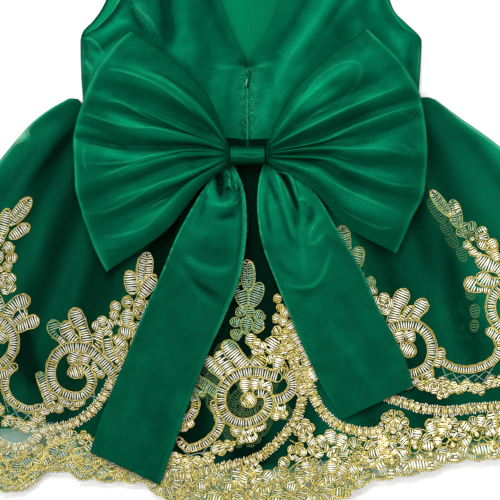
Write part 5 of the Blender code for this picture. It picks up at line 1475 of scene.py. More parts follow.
def build_skirt():
    # back mesh
    V, U = net_grid(300, 92)
    gx, gy = sheer_xy(U, V)
    z = net_height(gx, gy)
    # painted shade in the net's hollows and painted highlight on its crests
    tone = hollows(z, 4, 9, 1.4) - 0.5
    light, cover = net_tones(gx, gy, U, V, tone)
    uv = np.stack([wx(gx), wy(gy)], -1)
    net = grid_piece("mesh_back", gx, gy, z, NET, tone=light, extra=cover, uv=uv, thick=0)
    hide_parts("lace_overlay_back")
    # back lining
    v = np.linspace(0, 1, 70)
    u = np.linspace(0, 1, 230)
    vs = np.linspace(0.55, 0.97, 80)
    hx, hy = skirt_xy(u[None, :], vs[:, None], scallop=False)
    lh = np.asarray(LINING_HEM, float)
    over = hy - np.interp(hx, lh[:, 0], lh[:, 1]) > 0
    end = np.where(over.any(0), vs[np.argmax(over, axis=0)], 0.97)
    end = np.convolve(np.pad(end, 4, mode="edge"), np.ones(9) / 9, mode="valid")
    V2, U2 = np.meshgrid(v, u, indexing="ij")
    V2 = V2 * end[None, :]
    l, r = lining_inset(V2, True), lining_inset(V2, False)
    gx, gy = skirt_xy(l + (1 - l - r) * U2, V2, scallop=False)
    z = lining_height(gx, gy)
    # lining tone: painted shade in the hollows, painted light towards the sides, painted shadow of the bow down the
    # middle
    t2 = hollows(z, 4, 8, 1.4)
    side = ramp((np.abs(gx - 250.0) - 110.0) / 190.0)
    tone2 = 0.26 + 0.4 * (t2 - 0.5) + 0.14 * side - 0.2 * np.exp(-((gx - 250.0) / 40.0) ** 2)
    lining = grid_piece("lining_back", gx, gy, z, LINING, tone=np.clip(tone2, 0, 1), thick=0.4)
    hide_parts("skirt_lining_back")
    # front lining and front mesh, flat on the table
    z = np.full_like(gx, Z_FRONT_IN + 0.5) + 0.08 * value_noise(gx, gy, 20.0, 66)
    lining_f = grid_piece("lining_front", gx[::2, ::3], gy[::2, ::3], z[::2, ::3], LINING,
                          tone=np.clip(tone2[::2, ::3], 0, 1), thick=0.4)
    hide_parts("skirt_lining_front")
    V, U = net_grid(260, 26)
    gx, gy = sheer_xy(U, V)
    z = front_net_height(gx, gy)
    net_f = grid_piece("mesh_front", gx, gy, z, NET_FRONT, tone=np.full_like(gx, 0.6),
                       extra=np.clip(0.06 + 0.6 * np.exp(-V / 0.05), 0, 1), thick=0)
    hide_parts("lace_overlay_front")
    for o, s in ((net, "embroidered_mesh"), (net_f, "embroidered_mesh"), (lining, "skirt_lining"), (lining_f, "skirt_lining")):
        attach(o, "dress")
    return net, lining, lining_f, net_f



# ----------------------------------------------------------------- embroidery
# Corded embroidery as thin raised threads on the mesh.  Lengths are in drawing
# units; heights in mm.  Thread kinds: 0 gold cord, 1 cream satin stitch, 2 netting.
CORD_W, CORD_H = 0.52, 0.80
RIB_W, RIB_H, RIB_PITCH = 0.62, 0.60, 2.35

# Where a fold of the mesh lies over the embroidery: centre, radii, turn (degrees).
VEILS = [((246, 299), (24, 37), 0), ((362, 252), (16, 44), -28), ((440, 205), (13, 22), 45), ((235, 339), (13, 11), 0), ((204, 384), (15, 20), 0),
         ((462, 228), (15, 34), 45), ((53, 328), (9.5, 13), 0), ((41, 374), (6, 9), 0)]


def veiled(gx, gy):
    v = np.zeros_like(gx)
    for (cx, cy), (rx, ry), turn in VEILS:
        a = math.radians(turn)
        x, y = gx - cx, gy - cy
        u = (x * math.cos(a) + y * math.sin(a)) / rx
        w = (-x * math.sin(a) + y * math.cos(a)) / ry
        v = np.maximum(v, 1 - ramp((np.hypot(u, w) - 0.86) / 0.22))
    return v


def skirt_edge():
    """Edge of the mesh in drawing units."""
    k, b = np.linspace(0, 1, 140), np.linspace(0, 1, 720)
    parts = [sheer_xy(0 * k, k), sheer_xy(b, 0 * b + 1.0), sheer_xy(0 * k + 1.0, k[::-1])]
    ring = np.vstack([np.stack([np.asarray(p[0], float), np.asarray(p[1], float)], -1) for p in parts])
    away = ring - np.array([250.0, 250.0])
    return ring + away / np.hypot(away[:, 0], away[:, 1])[:, None] * 0.8


def on_skirt(q, ring):
    """True for the points that lie on the mesh."""
    x0, y0 = ring[:, 0], ring[:, 1]
    x1, y1 = np.roll(x0, -1), np.roll(y0, -1)
    run = (x1 - x0) / np.where(np.abs(y1 - y0) < 1e-9, 1e-9, y1 - y0)
    hit = np.zeros(len(q), bool)
    for a in range(0, len(q), 4000):
        X, Y = q[a:a + 4000, 0][:, None], q[a:a + 4000, 1][:, None]
        side = (y0 > Y) != (y1 > Y)
        hit[a:a + 4000] = np.count_nonzero(side & (X < run * (Y - y0) + x0), axis=1) % 2 == 1
    return hit


class Lace:
    def __init__(self, seed, pitch=RIB_PITCH, cord_step=1.5, down=False):
        self.v, self.h, self.f, self.m, self.t = [], [], [], [], []
        self.shapes = []
        self.n = 0
        self.rng = np.random.default_rng(seed)
        self.pitch, self.step, self.down = pitch, cord_step, down
        self.twin = 0.0 if down else 0.85
        self.fine, self.golden, self.rib = 1.0, 0.06, RIB_W
        self.place()

    def place(self, cx=0.0, cy=0.0, rot=0.0, scale=1.0, mirror=False):
        a = math.radians(rot)
        self.c = np.array([cx, cy])
        self.R = scale * np.array([[math.cos(a), math.sin(a)], [-math.sin(a), math.cos(a)]])
        self.flip = -1.0 if mirror else 1.0
        self.scale = scale

    def world(self, p):
        p = np.asarray(p, float) * np.array([self.flip, 1.0])
        return p @ self.R.T + self.c

    def emit(self, verts, heights, faces, kind, tone):
        self.v.append(verts.reshape(-1, 2))
        self.h.append(heights.reshape(-1))
        self.t.append(np.broadcast_to(tone, heights.shape).reshape(-1))
        self.f.append(faces.reshape(-1, 4) + self.n)
        k = np.asarray(kind)
        rows = len(faces.reshape(-1, 4))
        self.m.append(np.repeat(k, rows // len(k)) if k.ndim else np.full(rows, kind))
        self.n += verts.size // 2

    def keep(self, pts):
        """Note a filled shape; what comes later stays out of it."""
        p = self.world(pts)
        c = (p.min(0) + p.max(0)) / 2
        self.shapes.append((c, float(np.hypot(*(p - c).T).max()), p))

    def under(self, q):
        """True where world points lie inside an earlier shape."""
        hit = np.zeros(len(q), bool)
        if not len(q):
            return hit
        mid = (q.min(0) + q.max(0)) / 2
        reach = float(np.hypot(*(q - mid).T).max())
        for c, r, p in self.shapes:
            if math.hypot(c[0] - mid[0], c[1] - mid[1]) > r + reach:
                continue
            x0, y0 = p[:, 0], p[:, 1]
            x1, y1 = np.roll(x0, -1), np.roll(y0, -1)
            X, Y = q[:, 0][:, None], q[:, 1][:, None]
            side = (y0 > Y) != (y1 > Y)
            with np.errstate(divide="ignore", invalid="ignore"):
                cross = X < (x1 - x0) * (Y - y0) / (y1 - y0) + x0
            hit |= (np.count_nonzero(side & cross, axis=1) % 2) == 1
        return hit

    def ribbon(self, pts, w=CORD_W, h=CORD_H, kind=0, closed=False, lift=0.0, clip=False):
        p = self.world(pts)
        wv = np.broadcast_to(np.asarray(w, float) * self.fine, (len(p),))
        if clip and len(p) > 2:
            hid = self.under(p)
            if hid.all():
                return
            if hid.any():
                if closed:
                    k = int(np.argmax(hid))
                    p, hid, wv = np.roll(p, -k, 0), np.roll(hid, -k), np.roll(wv, -k)
                edge = np.flatnonzero(np.diff(np.concatenate([[1], hid.astype(int), [1]])))
                for a, b in zip(edge[::2], edge[1::2]):
                    self.strand(p[a:b], wv[a:b], h, kind, False, lift)
                return
        self.strand(p, wv, h, kind, closed, lift)

    def strand(self, p, wv, h, kind, closed, lift):
        if closed:
            p, wv = np.vstack([p, p[:1]]), np.append(wv, wv[0])
        if len(p) < 2:
            return
        d = np.gradient(p, axis=0)
        if closed:
            d[0] = d[-1] = p[1] - p[-2]
        d /= np.maximum(np.hypot(d[:, 0], d[:, 1]), 1e-9)[:, None]
        nrm = np.stack([-d[:, 1], d[:, 0]], -1)
        off = np.array([-1, 0, 1.0])
        # tone 0 on the sides and 1 on the crown, for the painted shade along the thread's sides
        hs = np.array([0, 1.0, 0])
        q = p[:, None] + nrm[:, None] * off[None, :, None] * wv[:, None, None]
        hz = lift + h * np.broadcast_to(hs, (len(p), 3))
        i = np.arange(len(p) - 1)[:, None] * 3 + np.arange(2)[None]
        f = np.stack([i, i + 1, i + 4, i + 3], -1)
        self.emit(q, hz, f, kind, hs)

    def ribs(self, a, b, w=None, h=RIB_H, kind=1, lift=0.05, jitter=0.22, plain=False):
        w = w or self.rib
        a, b = self.world(a), self.world(b)
        if len(a) == 0:
            return
        a = a + self.rng.normal(0, jitter, a.shape)
        b = b + self.rng.normal(0, jitter, b.shape)
        m = (a + b) / 2
        hid = self.under(np.vstack([a, m, b])).reshape(3, -1)
        a = np.where((hid[0] & ~hid[1])[:, None], m, a)
        b = np.where((hid[2] & ~hid[1])[:, None], m, b)
        show = ~(hid[1] | (hid[0] & hid[2]))
        a, b = a[show], b[show]
        if len(a) == 0:
            return
        d = b - a
        d /= np.maximum(np.hypot(d[:, 0], d[:, 1]), 1e-9)[:, None]
        nrm = np.stack([-d[:, 1], d[:, 0]], -1)
        across = np.array([-1, 0, 1.0])
        if plain:
            st = np.stack([a, b], 1)
            wid = np.array([0.85, 0.85])
            hz = lift + h * np.array([[0, 0.9, 0], [0, 0.9, 0]])
        else:
            st = np.stack([a, (a + b) / 2, b], 1)
            wid = np.array([0.6, 1.0, 0.6])
            hz = lift + h * np.array([[0, 0.45, 0], [0, 1, 0], [0, 0.45, 0]])
        k = st.shape[1]
        q = st[:, :, None] + nrm[:, None, None] * (across[None, :] * wid[:, None])[None, :, :, None] * w
        hz = np.broadcast_to(hz, (len(a), k, 3)) * self.rng.uniform(0.8, 1.15, (len(a), 1, 1))
        base = np.arange(len(a))[:, None] * (3 * k)
        f = np.array([[0, 1, 4, 3], [1, 2, 5, 4], [3, 4, 7, 6], [4, 5, 8, 7]][:2 * (k - 1)])
        if kind == 1 and self.golden:
            kind = np.where(self.rng.random(len(a)) < self.golden, 0, 1)
        # ribs get tone 0 on their sides and 1 on the crown, for the painted shade along their sides
        self.emit(q, hz, base[:, :, None] + f[None], kind, np.array([0, 1.0, 0]))

    # ---- motifs
    def outline(self, pts, w=0.52, twin=True):
        """Gold cord round a shape, with a second, broken one beside it."""
        self.ribbon(pts, w=w, closed=True, clip=True)
        if twin and self.rng.random() < self.twin:
            p = np.asarray(pts, float)
            c = p.mean(0)
            n = len(p)
            k0 = int(self.rng.integers(0, n))
            idx = (k0 + np.arange(int(n * self.rng.uniform(0.4, 0.8)))) % n
            d = p[idx] - c
            d /= np.maximum(np.hypot(d[:, 0], d[:, 1]), 1e-9)[:, None]
            self.ribbon(p[idx] + d * 1.3, w=0.38, h=0.55, clip=True)

    def leaf(self, x, y, ang, L, W, bend=0.0, mid=False, sparse=1.0, wide=0.56, twin=True, kind=1):
        """Round-ended leaf from its base (x, y); mid gives it a vein."""
        a = math.radians(ang)
        ax = np.array([math.cos(a), -math.sin(a)])
        pr = np.array([-ax[1], ax[0]])
        t = np.linspace(0, 1, max(7, int(L / self.step / 1.2)))
        t = 0.5 - 0.5 * np.cos(math.pi * t)

        def spine(t):
            return np.array([x, y]) + t[:, None] * L * ax + (bend * L * np.sin(math.pi * t * 0.5) * t)[:, None] * pr

        def half(t):
            q = np.where(t < wide, (wide - t) / wide, (t - wide) / (1 - wide))
            return W / 2 * np.clip(1 - q ** 2.5, 0, 1) ** 0.55

        s, hw = spine(t), half(t)
        ring = np.vstack([s + hw[:, None] * pr, (s - hw[:, None] * pr)[::-1][1:-1]])
        self.outline(ring, twin=twin)
        step = self.pitch * sparse
        k = np.arange(step * 0.75, L - step * 0.5, step) / L
        s, hw = spine(k), half(k)
        if mid:
            self.ribbon(spine(np.linspace(0.0, 0.88, 8)), w=0.36, clip=True)
            self.ribs(s + 0.8 * pr, s + (hw * 0.86)[:, None] * pr + 1.2 * ax, plain=True)
            self.ribs(s - 0.8 * pr, s - (hw * 0.86)[:, None] * pr + 1.2 * ax, plain=True)
        else:
            sl = self.rng.uniform(-0.7, 0.7) * ax
            self.ribs(s + (hw * 0.86)[:, None] * pr + sl, s - (hw * 0.86)[:, None] * pr - sl, kind=kind)
        self.keep(ring)

    def lobe(self, pts, w, foot=0.60, waist=0.66):
        """Finger of a lobed leaf: foot, slight waist and round head in one edge."""
        p = even(spline(pts, 1.2), 1.3)
        t = np.linspace(0, 1, len(p))
        s = np.concatenate([[0], np.cumsum(np.hypot(*np.diff(p, axis=0).T))])
        d = np.gradient(p, axis=0)
        d /= np.maximum(np.hypot(d[:, 0], d[:, 1]), 1e-9)[:, None]
        nr = np.stack([-d[:, 1], d[:, 0]], -1)
        cap = 1 - 0.55 * w / s[-1]
        hw = w / 2 * curve([0, 0.20, 0.44, 0.72, 1.0], [foot, 0.86, waist, 1.06, 0.92], t)
        hw = hw * np.sqrt(np.clip(1 - np.clip((t - cap) / (1 - cap), 0, 1) ** 2, 0.001, 1))
        ring = np.vstack([p + nr * hw[:, None], (p - nr * hw[:, None])[::-1]])
        self.outline(ring)
        k = np.arange(self.pitch * 0.7, s[-1] - self.pitch * 0.6, self.pitch)
        pick = lambda arr: np.stack([np.interp(k, s, arr[:, 0]), np.interp(k, s, arr[:, 1])], -1)
        pk, nk, wk = pick(p), pick(nr), np.interp(k, s, hw)[:, None]
        sl = self.rng.uniform(-0.5, 0.5) * pick(d)
        self.ribs(pk + nk * wk * 0.84 + sl, pk - nk * wk * 0.84 - sl)
        self.keep(ring)

    def bud(self, x, y, r, ang=90.0, long=1.0, sparse=1.0, twin=True):
        """Small rounded petal about its middle, ribs across its length."""
        a = math.radians(ang + self.rng.normal(0, 6))
        ax = np.array([math.cos(a), -math.sin(a)])
        pr = np.array([-ax[1], ax[0]])
        n = max(8, int(2 * math.pi * r * (1 + long) / 2 / self.step))
        th = np.linspace(0, 2 * math.pi, n, endpoint=False)
        c = np.array([x, y]) + self.rng.normal(0, 0.25, 2)
        R = r * long
        egg = 1 + 0.16 * np.cos(th)
        ring = c + (np.cos(th) * R)[:, None] * ax + (np.sin(th) * r * egg)[:, None] * pr
        self.outline(ring, w=0.48, twin=twin and r > 2.6)
        step = self.pitch * 0.86 * sparse
        k = np.arange(-R + step * 0.7, R - step * 0.4, step)
        hw = r * np.sqrt(np.clip(1 - (k / R) ** 2, 0, 1)) * 0.84
        fanned = np.array([1.0 + 0.25 * (k / max(R, 1e-6))]).T
        self.ribs(c + k[:, None] * ax + hw[:, None] * pr * fanned + 0.6 * ax,
                  c + k[:, None] * ax - hw[:, None] * pr * fanned + 0.6 * ax, plain=r < 3.6)
        self.keep(ring)

    def spoke(self, x, y, r, ang, long=1.3):
        """Petal whose ribs fan out along it, with a gold edge."""
        a = math.radians(ang)
        ax = np.array([math.cos(a), -math.sin(a)])
        pr = np.array([-ax[1], ax[0]])
        n = max(8, int(2 * math.pi * r / self.step))
        th = np.linspace(0, 2 * math.pi, n, endpoint=False)
        c = np.array([x, y])
        R = r * long
        ring = c + (np.cos(th) * R)[:, None] * ax + (np.sin(th) * r * (1 + 0.25 * np.cos(th)))[:, None] * pr
        self.ribbon(ring, w=0.48, closed=True, clip=True)
        f = np.linspace(-0.72, 0.72, max(3, int(2 * r / 2.1)))
        self.ribs(c - 0.60 * R * ax + (f * r * 0.35)[:, None] * pr,
                  c + (0.78 * R * np.sqrt(1 - f ** 2 * 0.6))[:, None] * ax + (f * r * 0.95)[:, None] * pr, plain=True, w=0.50)
        self.keep(ring)

    def flower(self, x, y, R, n=5, rot=90.0, core=True):
        for i in range(n):
            a = rot + 360.0 * i / n + self.rng.normal(0, 5)
            c = math.radians(a)
            r = R * min(0.43, 2.05 / n) * self.rng.uniform(0.9, 1.1)
            self.bud(x + 0.60 * R * math.cos(c), y - 0.60 * R * math.sin(c), r, a, 1.05, twin=False)
        if core:
            self.bud(x, y, R * 0.24, rot, 1.0, twin=False)

    def rosette(self, x, y, R, rot=0.0):
        """Ruffled full flower: a ring of petals round a wound centre."""
        self.bud(x, y, R * 0.20, rot, 1.0, twin=False)
        for i in range(5):
            a = rot + 30 + 72.0 * i
            c = math.radians(a)
            self.bud(x + 0.36 * R * math.cos(c), y - 0.36 * R * math.sin(c), R * 0.19, a, 1.15, twin=False)
        n = max(7, int(R * 0.66))
        for i in range(n):
            a = rot + 360.0 * i / n + self.rng.normal(0, 4)
            c = math.radians(a)
            self.spoke(x + 0.72 * R * math.cos(c), y - 0.72 * R * math.sin(c), R * 0.30, a, 1.05)

    def medallion(self, x, y, R, ang, n=7, sweep=210.0, size=None, bare=False):
        """Petals in a half ring about a bud, under a double gold arch."""
        size = size or R * math.radians(sweep) / n * 0.40
        for i in range(n):
            a = ang - sweep / 2 + sweep * i / (n - 1) + self.rng.normal(0, 3)
            c = math.radians(a)
            r = R * self.rng.uniform(0.95, 1.05)
            if i % 2 or (bare and self.golden > 0.25):
                self.spoke(x + r * math.cos(c), y - r * math.sin(c), size * 0.9, a, 1.5)
            else:
                self.bud(x + r * math.cos(c), y - r * math.sin(c), size, a, 1.4, twin=False, sparse=1.5 if bare else 1.15)
        th = np.radians(np.linspace(ang - sweep / 2 - 8, ang + sweep / 2 + 8, 3 * n))
        for q in (R - size * 1.65, R - size * 2.15):
            if q > 1.5:
                self.ribbon(np.stack([x + q * np.cos(th), y - q * np.sin(th)], -1), w=0.40, clip=True)
        self.bud(x, y, max(R - size * 3.0, 1.8), ang, 1.2, twin=False)

    def band(self, pts, w0, w1=None, caps=(True, True), twin=True):
        p = even(spline(pts, 1.2), 1.4)
        n = len(p)
        w = np.linspace(w0, w0 if w1 is None else w1, n) / 2
        d = np.gradient(p, axis=0)
        d /= np.maximum(np.hypot(d[:, 0], d[:, 1]), 1e-9)[:, None]
        nr = np.stack([-d[:, 1], d[:, 0]], -1)
        left, right = p + nr * w[:, None], p - nr * w[:, None]
        loop = [left]
        if caps[1]:
            th = np.linspace(0, math.pi, 7)[1:-1]
            loop.append(p[-1] + w[-1] * (np.cos(th)[:, None] * nr[-1] + np.sin(th)[:, None] * d[-1]))
        loop.append(right[::-1])
        if caps[0]:
            th = np.linspace(0, math.pi, 7)[1:-1]
            loop.append(p[0] - w[0] * (np.cos(th)[:, None] * nr[0] + np.sin(th)[:, None] * d[0]))
        ring = np.vstack(loop)
        self.ribbon(ring, w=0.52, closed=True, clip=True)
        s = np.concatenate([[0], np.cumsum(np.hypot(*np.diff(p, axis=0).T))])
        if twin:
            wob = 0.25 * np.sin(s * 0.55)
            self.ribbon(p + nr * (w + 1.3 + wob)[:, None], w=0.38, h=0.6, clip=True)
            self.ribbon(p - nr * (w - 1.35 + wob)[:, None], w=0.34, h=0.7, clip=True)
        k = np.arange(0.6, s[-1] - 0.3, self.pitch)
        pick = lambda arr: np.stack([np.interp(k, s, arr[:, 0]), np.interp(k, s, arr[:, 1])], -1)
        pk, nk = pick(p), pick(nr)
        wk = np.interp(k, s, w)[:, None]
        self.ribs(pk + nk * wk * 0.80, pk - nk * wk * 0.86, w=0.60, h=RIB_H + 0.2, jitter=0.28)
        self.keep(ring)

    def braid(self, pts, size=1.0):
        """Row of wound gold and cream knots with toothed edges."""
        p = even(spline(pts, 1.2), 1.3)
        d = np.gradient(p, axis=0)
        d /= np.maximum(np.hypot(d[:, 0], d[:, 1]), 1e-9)[:, None]
        nr = np.stack([-d[:, 1], d[:, 0]], -1)
        s = np.concatenate([[0], np.cumsum(np.hypot(*np.diff(p, axis=0).T))])

        def pick(arr, k):
            return np.stack([np.interp(k, s, arr[:, 0]), np.interp(k, s, arr[:, 1])], -1)

        k = np.arange(2.2, s[-1], 6.7)
        k = k + self.rng.normal(0, 0.5, len(k))
        pk, dk = pick(p, k), pick(d, k)
        for q, e in zip(pk, dk):
            ang = math.degrees(math.atan2(-e[1], e[0]))
            self.emit_knot(q[0], q[1], 3.05 * size * self.rng.uniform(0.92, 1.08), ang)
        for sign in (-1, 1):
            k = np.arange(0.5, s[-1], 2.55)
            k = k + self.rng.normal(0, 0.25, len(k))
            pk, nk, dk = pick(p, k), pick(nr, k), pick(d, k)
            tip = self.rng.uniform(4.3, 5.6, (len(k), 1)) * size
            self.ribs(pk + nk * sign * 3.3 * size, pk + nk * sign * tip + dk * 0.8, w=0.60, h=0.6, plain=True, jitter=0.3)
            wave = 3.1 + 0.5 * np.sin(2 * math.pi * s / 6.7 + (0 if sign > 0 else math.pi))
            self.ribbon(p + nr * (sign * wave * size)[:, None], w=0.38, h=0.9, clip=True)
        ph = 2 * math.pi * s / 6.7
        self.ribbon(p + nr * (2.4 * size * np.sin(ph))[:, None], w=0.38, h=0.95)
        self.keep(np.vstack([p + nr * 4.2 * size, (p - nr * 4.2 * size)[::-1]]))

    def emit_knot(self, x, y, r, ang):
        c = np.array([x, y])
        a = math.radians(ang)
        ax = np.array([math.cos(a), -math.sin(a)])
        pr = np.array([-ax[1], ax[0]])
        k = np.array([-0.62, 0.0, 0.62]) * r * 0.9
        hw = r * np.array([0.66, 0.90, 0.66])
        tilt = self.rng.uniform(-0.5, 0.9) * ax
        self.ribs(c + k[:, None] * ax + hw[:, None] * pr + tilt, c + k[:, None] * ax - hw[:, None] * pr - tilt, w=0.70, h=1.0,
                  plain=True, jitter=0.35)
        th = np.linspace(0, 2 * math.pi, 9, endpoint=False)
        self.ribbon(c + (np.cos(th) * r * 0.95)[:, None] * ax + (np.sin(th) * r * 0.95)[:, None] * pr, w=0.38, h=1.0, closed=True, clip=True)

    def garland(self, pts, size=3.5, gap=12.0):
        """Trefoils of small round buds along a double cord."""
        p = even(spline(pts, 1.5), 1.5)
        s = np.concatenate([[0], np.cumsum(np.hypot(*np.diff(p, axis=0).T))])
        k = np.arange(gap * 0.3, s[-1], gap)
        k = k + self.rng.normal(0, 0.9, len(k))
        for i, q in enumerate(np.stack([np.interp(k, s, p[:, 0]), np.interp(k, s, p[:, 1])], -1)):
            r = size * self.rng.uniform(0.88, 1.1)
            up = 1.2 * (-1) ** i
            self.bud(q[0] - 0.9 * r, q[1] + 1.7 + up, r, 60, 1.05)
            self.bud(q[0] + 1.0 * r, q[1] + 2.3 + up, r * 0.95, 120, 1.0)
            self.bud(q[0] + 0.1 * r, q[1] - 2.3 + up, r, 90, 1.1)
            self.bud(q[0] + 1.7 * r, q[1] - 1.7 + up, r * 0.62, 90, 1.0, twin=False)
        d = np.gradient(p, axis=0)
        nr = np.stack([-d[:, 1], d[:, 0]], -1) / np.maximum(np.hypot(d[:, 0], d[:, 1]), 1e-9)[:, None]
        for sg in (1, -1):
            self.ribbon(p + nr * (sg * 1.5 * np.sin(2 * math.pi * s / gap))[:, None], w=0.38, clip=True)

    def netting(self, up, lo, n):
        a, b = even(spline(up, 2.0), 1.0), even(spline(lo, 2.0), 1.0)
        f = lambda arr, t: arr[int(np.clip(t, 0, 1) * (len(arr) - 1))]
        for i in range(n):
            for dt in (-1.2 / n, 1.2 / n):
                t = (i + 0.5) / n
                if 0 <= t + dt <= 1:
                    self.ribbon(np.linspace(f(a, t), f(b, t + dt), 7), w=0.26, h=0.35, kind=2, clip=True)

    def stem(self, pts, w=0.48):
        self.ribbon(spline(pts, self.step), w=w, clip=True)

    # ---- one repeat of the tall border, drawn about the middle of its big scroll
    def spray(self, tall=True, fans=True, scroll=True, foot=27.0, slim=1.0):
        if scroll:
            self.bud(3, 0, 6.3, 15, 1.08)
            self.band([(49, 13), (41, 1), (29, -12), (17, -22), (4, -25), (-9, -22), (-18, -12), (-21, 2),
                       (-17, 15), (-5, 23), (8, 24), (16, 18), (19.5, 10), (17.5, 2), (12, -3.5), (6, -3.5)], 10.2, 7.4)
            self.bud(1.5, -14.5, 5.2, 70, 1.35)
            self.bud(13, -13, 4.8, 78, 1.35)
            self.bud(26, -3.5, 5.2, 118, 1.75)
        if tall:
            self.leaf(61, -77.5, 100, 23, 12.5 * slim)
            self.leaf(68.5, -74.5, 56, 26, 12.0 * slim)
            self.leaf(71, -86, 83, 34, 15.0 * slim, mid=True)
            self.bud(55, -54, 5.2, 82, 1.6)
            for x, y, r, a, g in ((45, -65, 4.4, 130, 1.1), (56, -70, 4.8, 100, 1.05), (66.5, -69, 4.4, 70, 1.15),
                                  (42, -57, 3.9, 160, 1.0), (64, -60, 3.0, 40, 1.0), (69, -57, 4.4, 40, 1.25),
                                  (53.5, -40, 5.4, 0, 1.1), (49, -49, 2.6, 200, 1.1), (61, -47, 3.2, 300, 1.1),
                                  (45, -50, 2.4, 200, 1.0), (68, -46, 3.6, 320, 1.3), (64, -38, 3.4, 290, 1.3),
                                  (75, -66, 3.3, 20, 1.0), (74, -49, 3.6, 330, 1.2), (72, -39, 3.4, 290, 1.2)):
                self.bud(x, y, r, a, g)
            self.band([(35, -33), (37, -22), (43, -10), (51, -2)], 9.0, 9.4)
            self.flower(31, -44, 11.0, 5, 95)
            self.bud(48, -29, 4.4, 138, 1.8)
            self.bud(49, -19, 3.9, 140, 1.8)
            self.bud(63, -25, 4.0, 120, 1.6)
            self.bud(58, -13, 3.6, 130, 1.5)
            self.stem([(68, -84), (62, -66), (60, -48), (61, -30), (62, -14)])
            self.stem([(71, -84), (73, -64), (68, -44), (62, -26)])
        if fans:
            # the four fingers of the lobed leaf on top
            self.lobe([(16, -24), (14, -35), (10.5, -45), (5, -54), (2, -63)], 13.6)
            self.lobe([(11, -18), (17, -24), (23, -29), (27.5, -37)], 13.0)
            self.lobe([(7, -24), (2, -32), (-4, -39), (-8, -50)], 12.5)
            self.lobe([(-3, -26), (-9, -34), (-16, -40), (-20, -52)], 13.0)
        if scroll:
            if foot > 20:
                self.lobe([(-22, 33), (-26, 22), (-29, 11), (-33, 0)], 8.0, foot=0.8, waist=0.8)
            else:
                self.lobe([(-26, 15), (-29, 7), (-30, -3)], 7.4, foot=0.8, waist=0.8)
            self.bud(-18, 22, 5.4, 60, 1.1)
            self.bud(-5, 29, 6.0, 150, 1.25)
            self.bud(6, 30, 5.0, 20, 1.2)
            self.bud(1, 35, 3.6, 20, 1.2)
            self.flower(-24, 35, 7.2, 5, 40)
            self.flower(-33, 42, 6.2, 4, 20)
            self.bud(-13, 36, 3.8, 60, 1.0)

    def mesh(self, name, height, mats, veil=None):
        v, h = np.vstack(self.v), np.concatenate(self.h)
        f, m, t = np.vstack(self.f), np.concatenate(self.m), np.concatenate(self.t)
        # nothing hangs past the edge of the skirt
        on = on_skirt(v, skirt_edge())[f].all(1)
        f, m = f[on], m[on]
        used, f = np.unique(f, return_inverse=True)
        f = f.reshape(-1, 4)
        v, h, t = v[used], h[used], t[used]
        gx, gy = v[:, 0], v[:, 1]
        z = height(gx, gy)
        if self.down:
            z = np.maximum(z - 0.05 - h * 0.75, 0.06)
        else:
            z = z + 0.28 + h
            if veil is not None:
                # what lies under a fold of the net takes on its colour
                k = veil(gx, gy)[f].mean(1) > 0.5
                m = np.where(k, m + 3, m)
        me = bpy.data.meshes.new(name)
        pts = np.stack([wx(gx), wy(gy), z * MM], -1)
        me.from_pydata(pts.tolist(), [], f.tolist())
        me.polygons.foreach_set("material_index", m.astype(np.int32))
        for mat in mats:
            me.materials.append(mat)
        tone = me.attributes.new("tone", "FLOAT", "POINT")
        tone.data.foreach_set("value", np.ascontiguousarray(t, dtype=np.float32))
        me.update()
        if not self.down:
            low = np.zeros(len(me.polygons) * 3)
            me.polygons.foreach_get("normal", low)
            if low[2::3].mean() < 0:
                me.flip_normals()
        me.shade_smooth()
        o = bpy.data.objects.new(name, me)
        bpy.context.scene.collection.objects.link(o)
        return o


def hem_frame(n=2400):
    """Points along the hem with the way up from it, in drawing units."""
    t = np.linspace(0, 1, n)
    x, y = path(HEM, t)
    dx, dy = FAN_X - x, FAN_Y - y
    r = np.hypot(dx, dy)
    s = np.concatenate([[0], np.cumsum(np.hypot(np.diff(x), np.diff(y)))])
    return s, x, y, dx / r, dy / r


HEM_FRAME = hem_frame()


def from_hem(s, d):
    """Grid point at length s along the hem and d above it."""
    S, x, y, ux, uy = HEM_FRAME
    s = np.asarray(s, float)
    px, py = np.interp(s, S, x), np.interp(s, S, y)
    vx, vy = np.interp(s, S, ux), np.interp(s, S, uy)
    return np.stack([px + vx * d, py + vy * d], -1)


def scallop_edge(L, s0, s1):
    """Corded edge that follows the small scallops."""
    n = int((s1 - s0) / 1.5)
    total = HEM_FRAME[0][-1]
    s = np.linspace(s0, s1, n)
    w = (s / total - GATHER_U) / (1 - 2 * GATHER_U)
    lobe = 1 - np.abs(np.cos(math.pi * VIS_SCALLOPS * w + 0.5 * np.sin(2 * math.pi * 5 * w)))
    base = VIS_DEPTH * lobe
    wob = 0.5 * np.sin(s * 0.31) + 0.4 * np.sin(s * 0.12 + 1)
    L.ribbon(from_hem(s, base + 1.9), w=0.46)
    L.ribbon(from_hem(s, base + 3.3 + 0.4 * wob), w=0.32)
    L.ribbon(from_hem(s, base * 0.8 + 8.0 + wob), w=0.40, clip=True)
    k = np.arange(s0, s1, 2.0)
    bk = np.interp(k, s, base)
    keep = np.sin(k * 0.11) + 0.6 * np.sin(k * 0.37 + 2) > -0.5
    L.ribs(from_hem(k, bk + 3.6)[keep], from_hem(k + 0.6, bk * 0.8 + 7.4)[keep], w=0.50, h=0.5, plain=True)
    k = np.arange(s0, s1, 2.1)
    bk = np.interp(k, s, base)
    L.ribs(from_hem(k, bk + 0.2), from_hem(k + 0.3, bk + 1.8), w=0.42, h=0.35, plain=True, jitter=0.3)


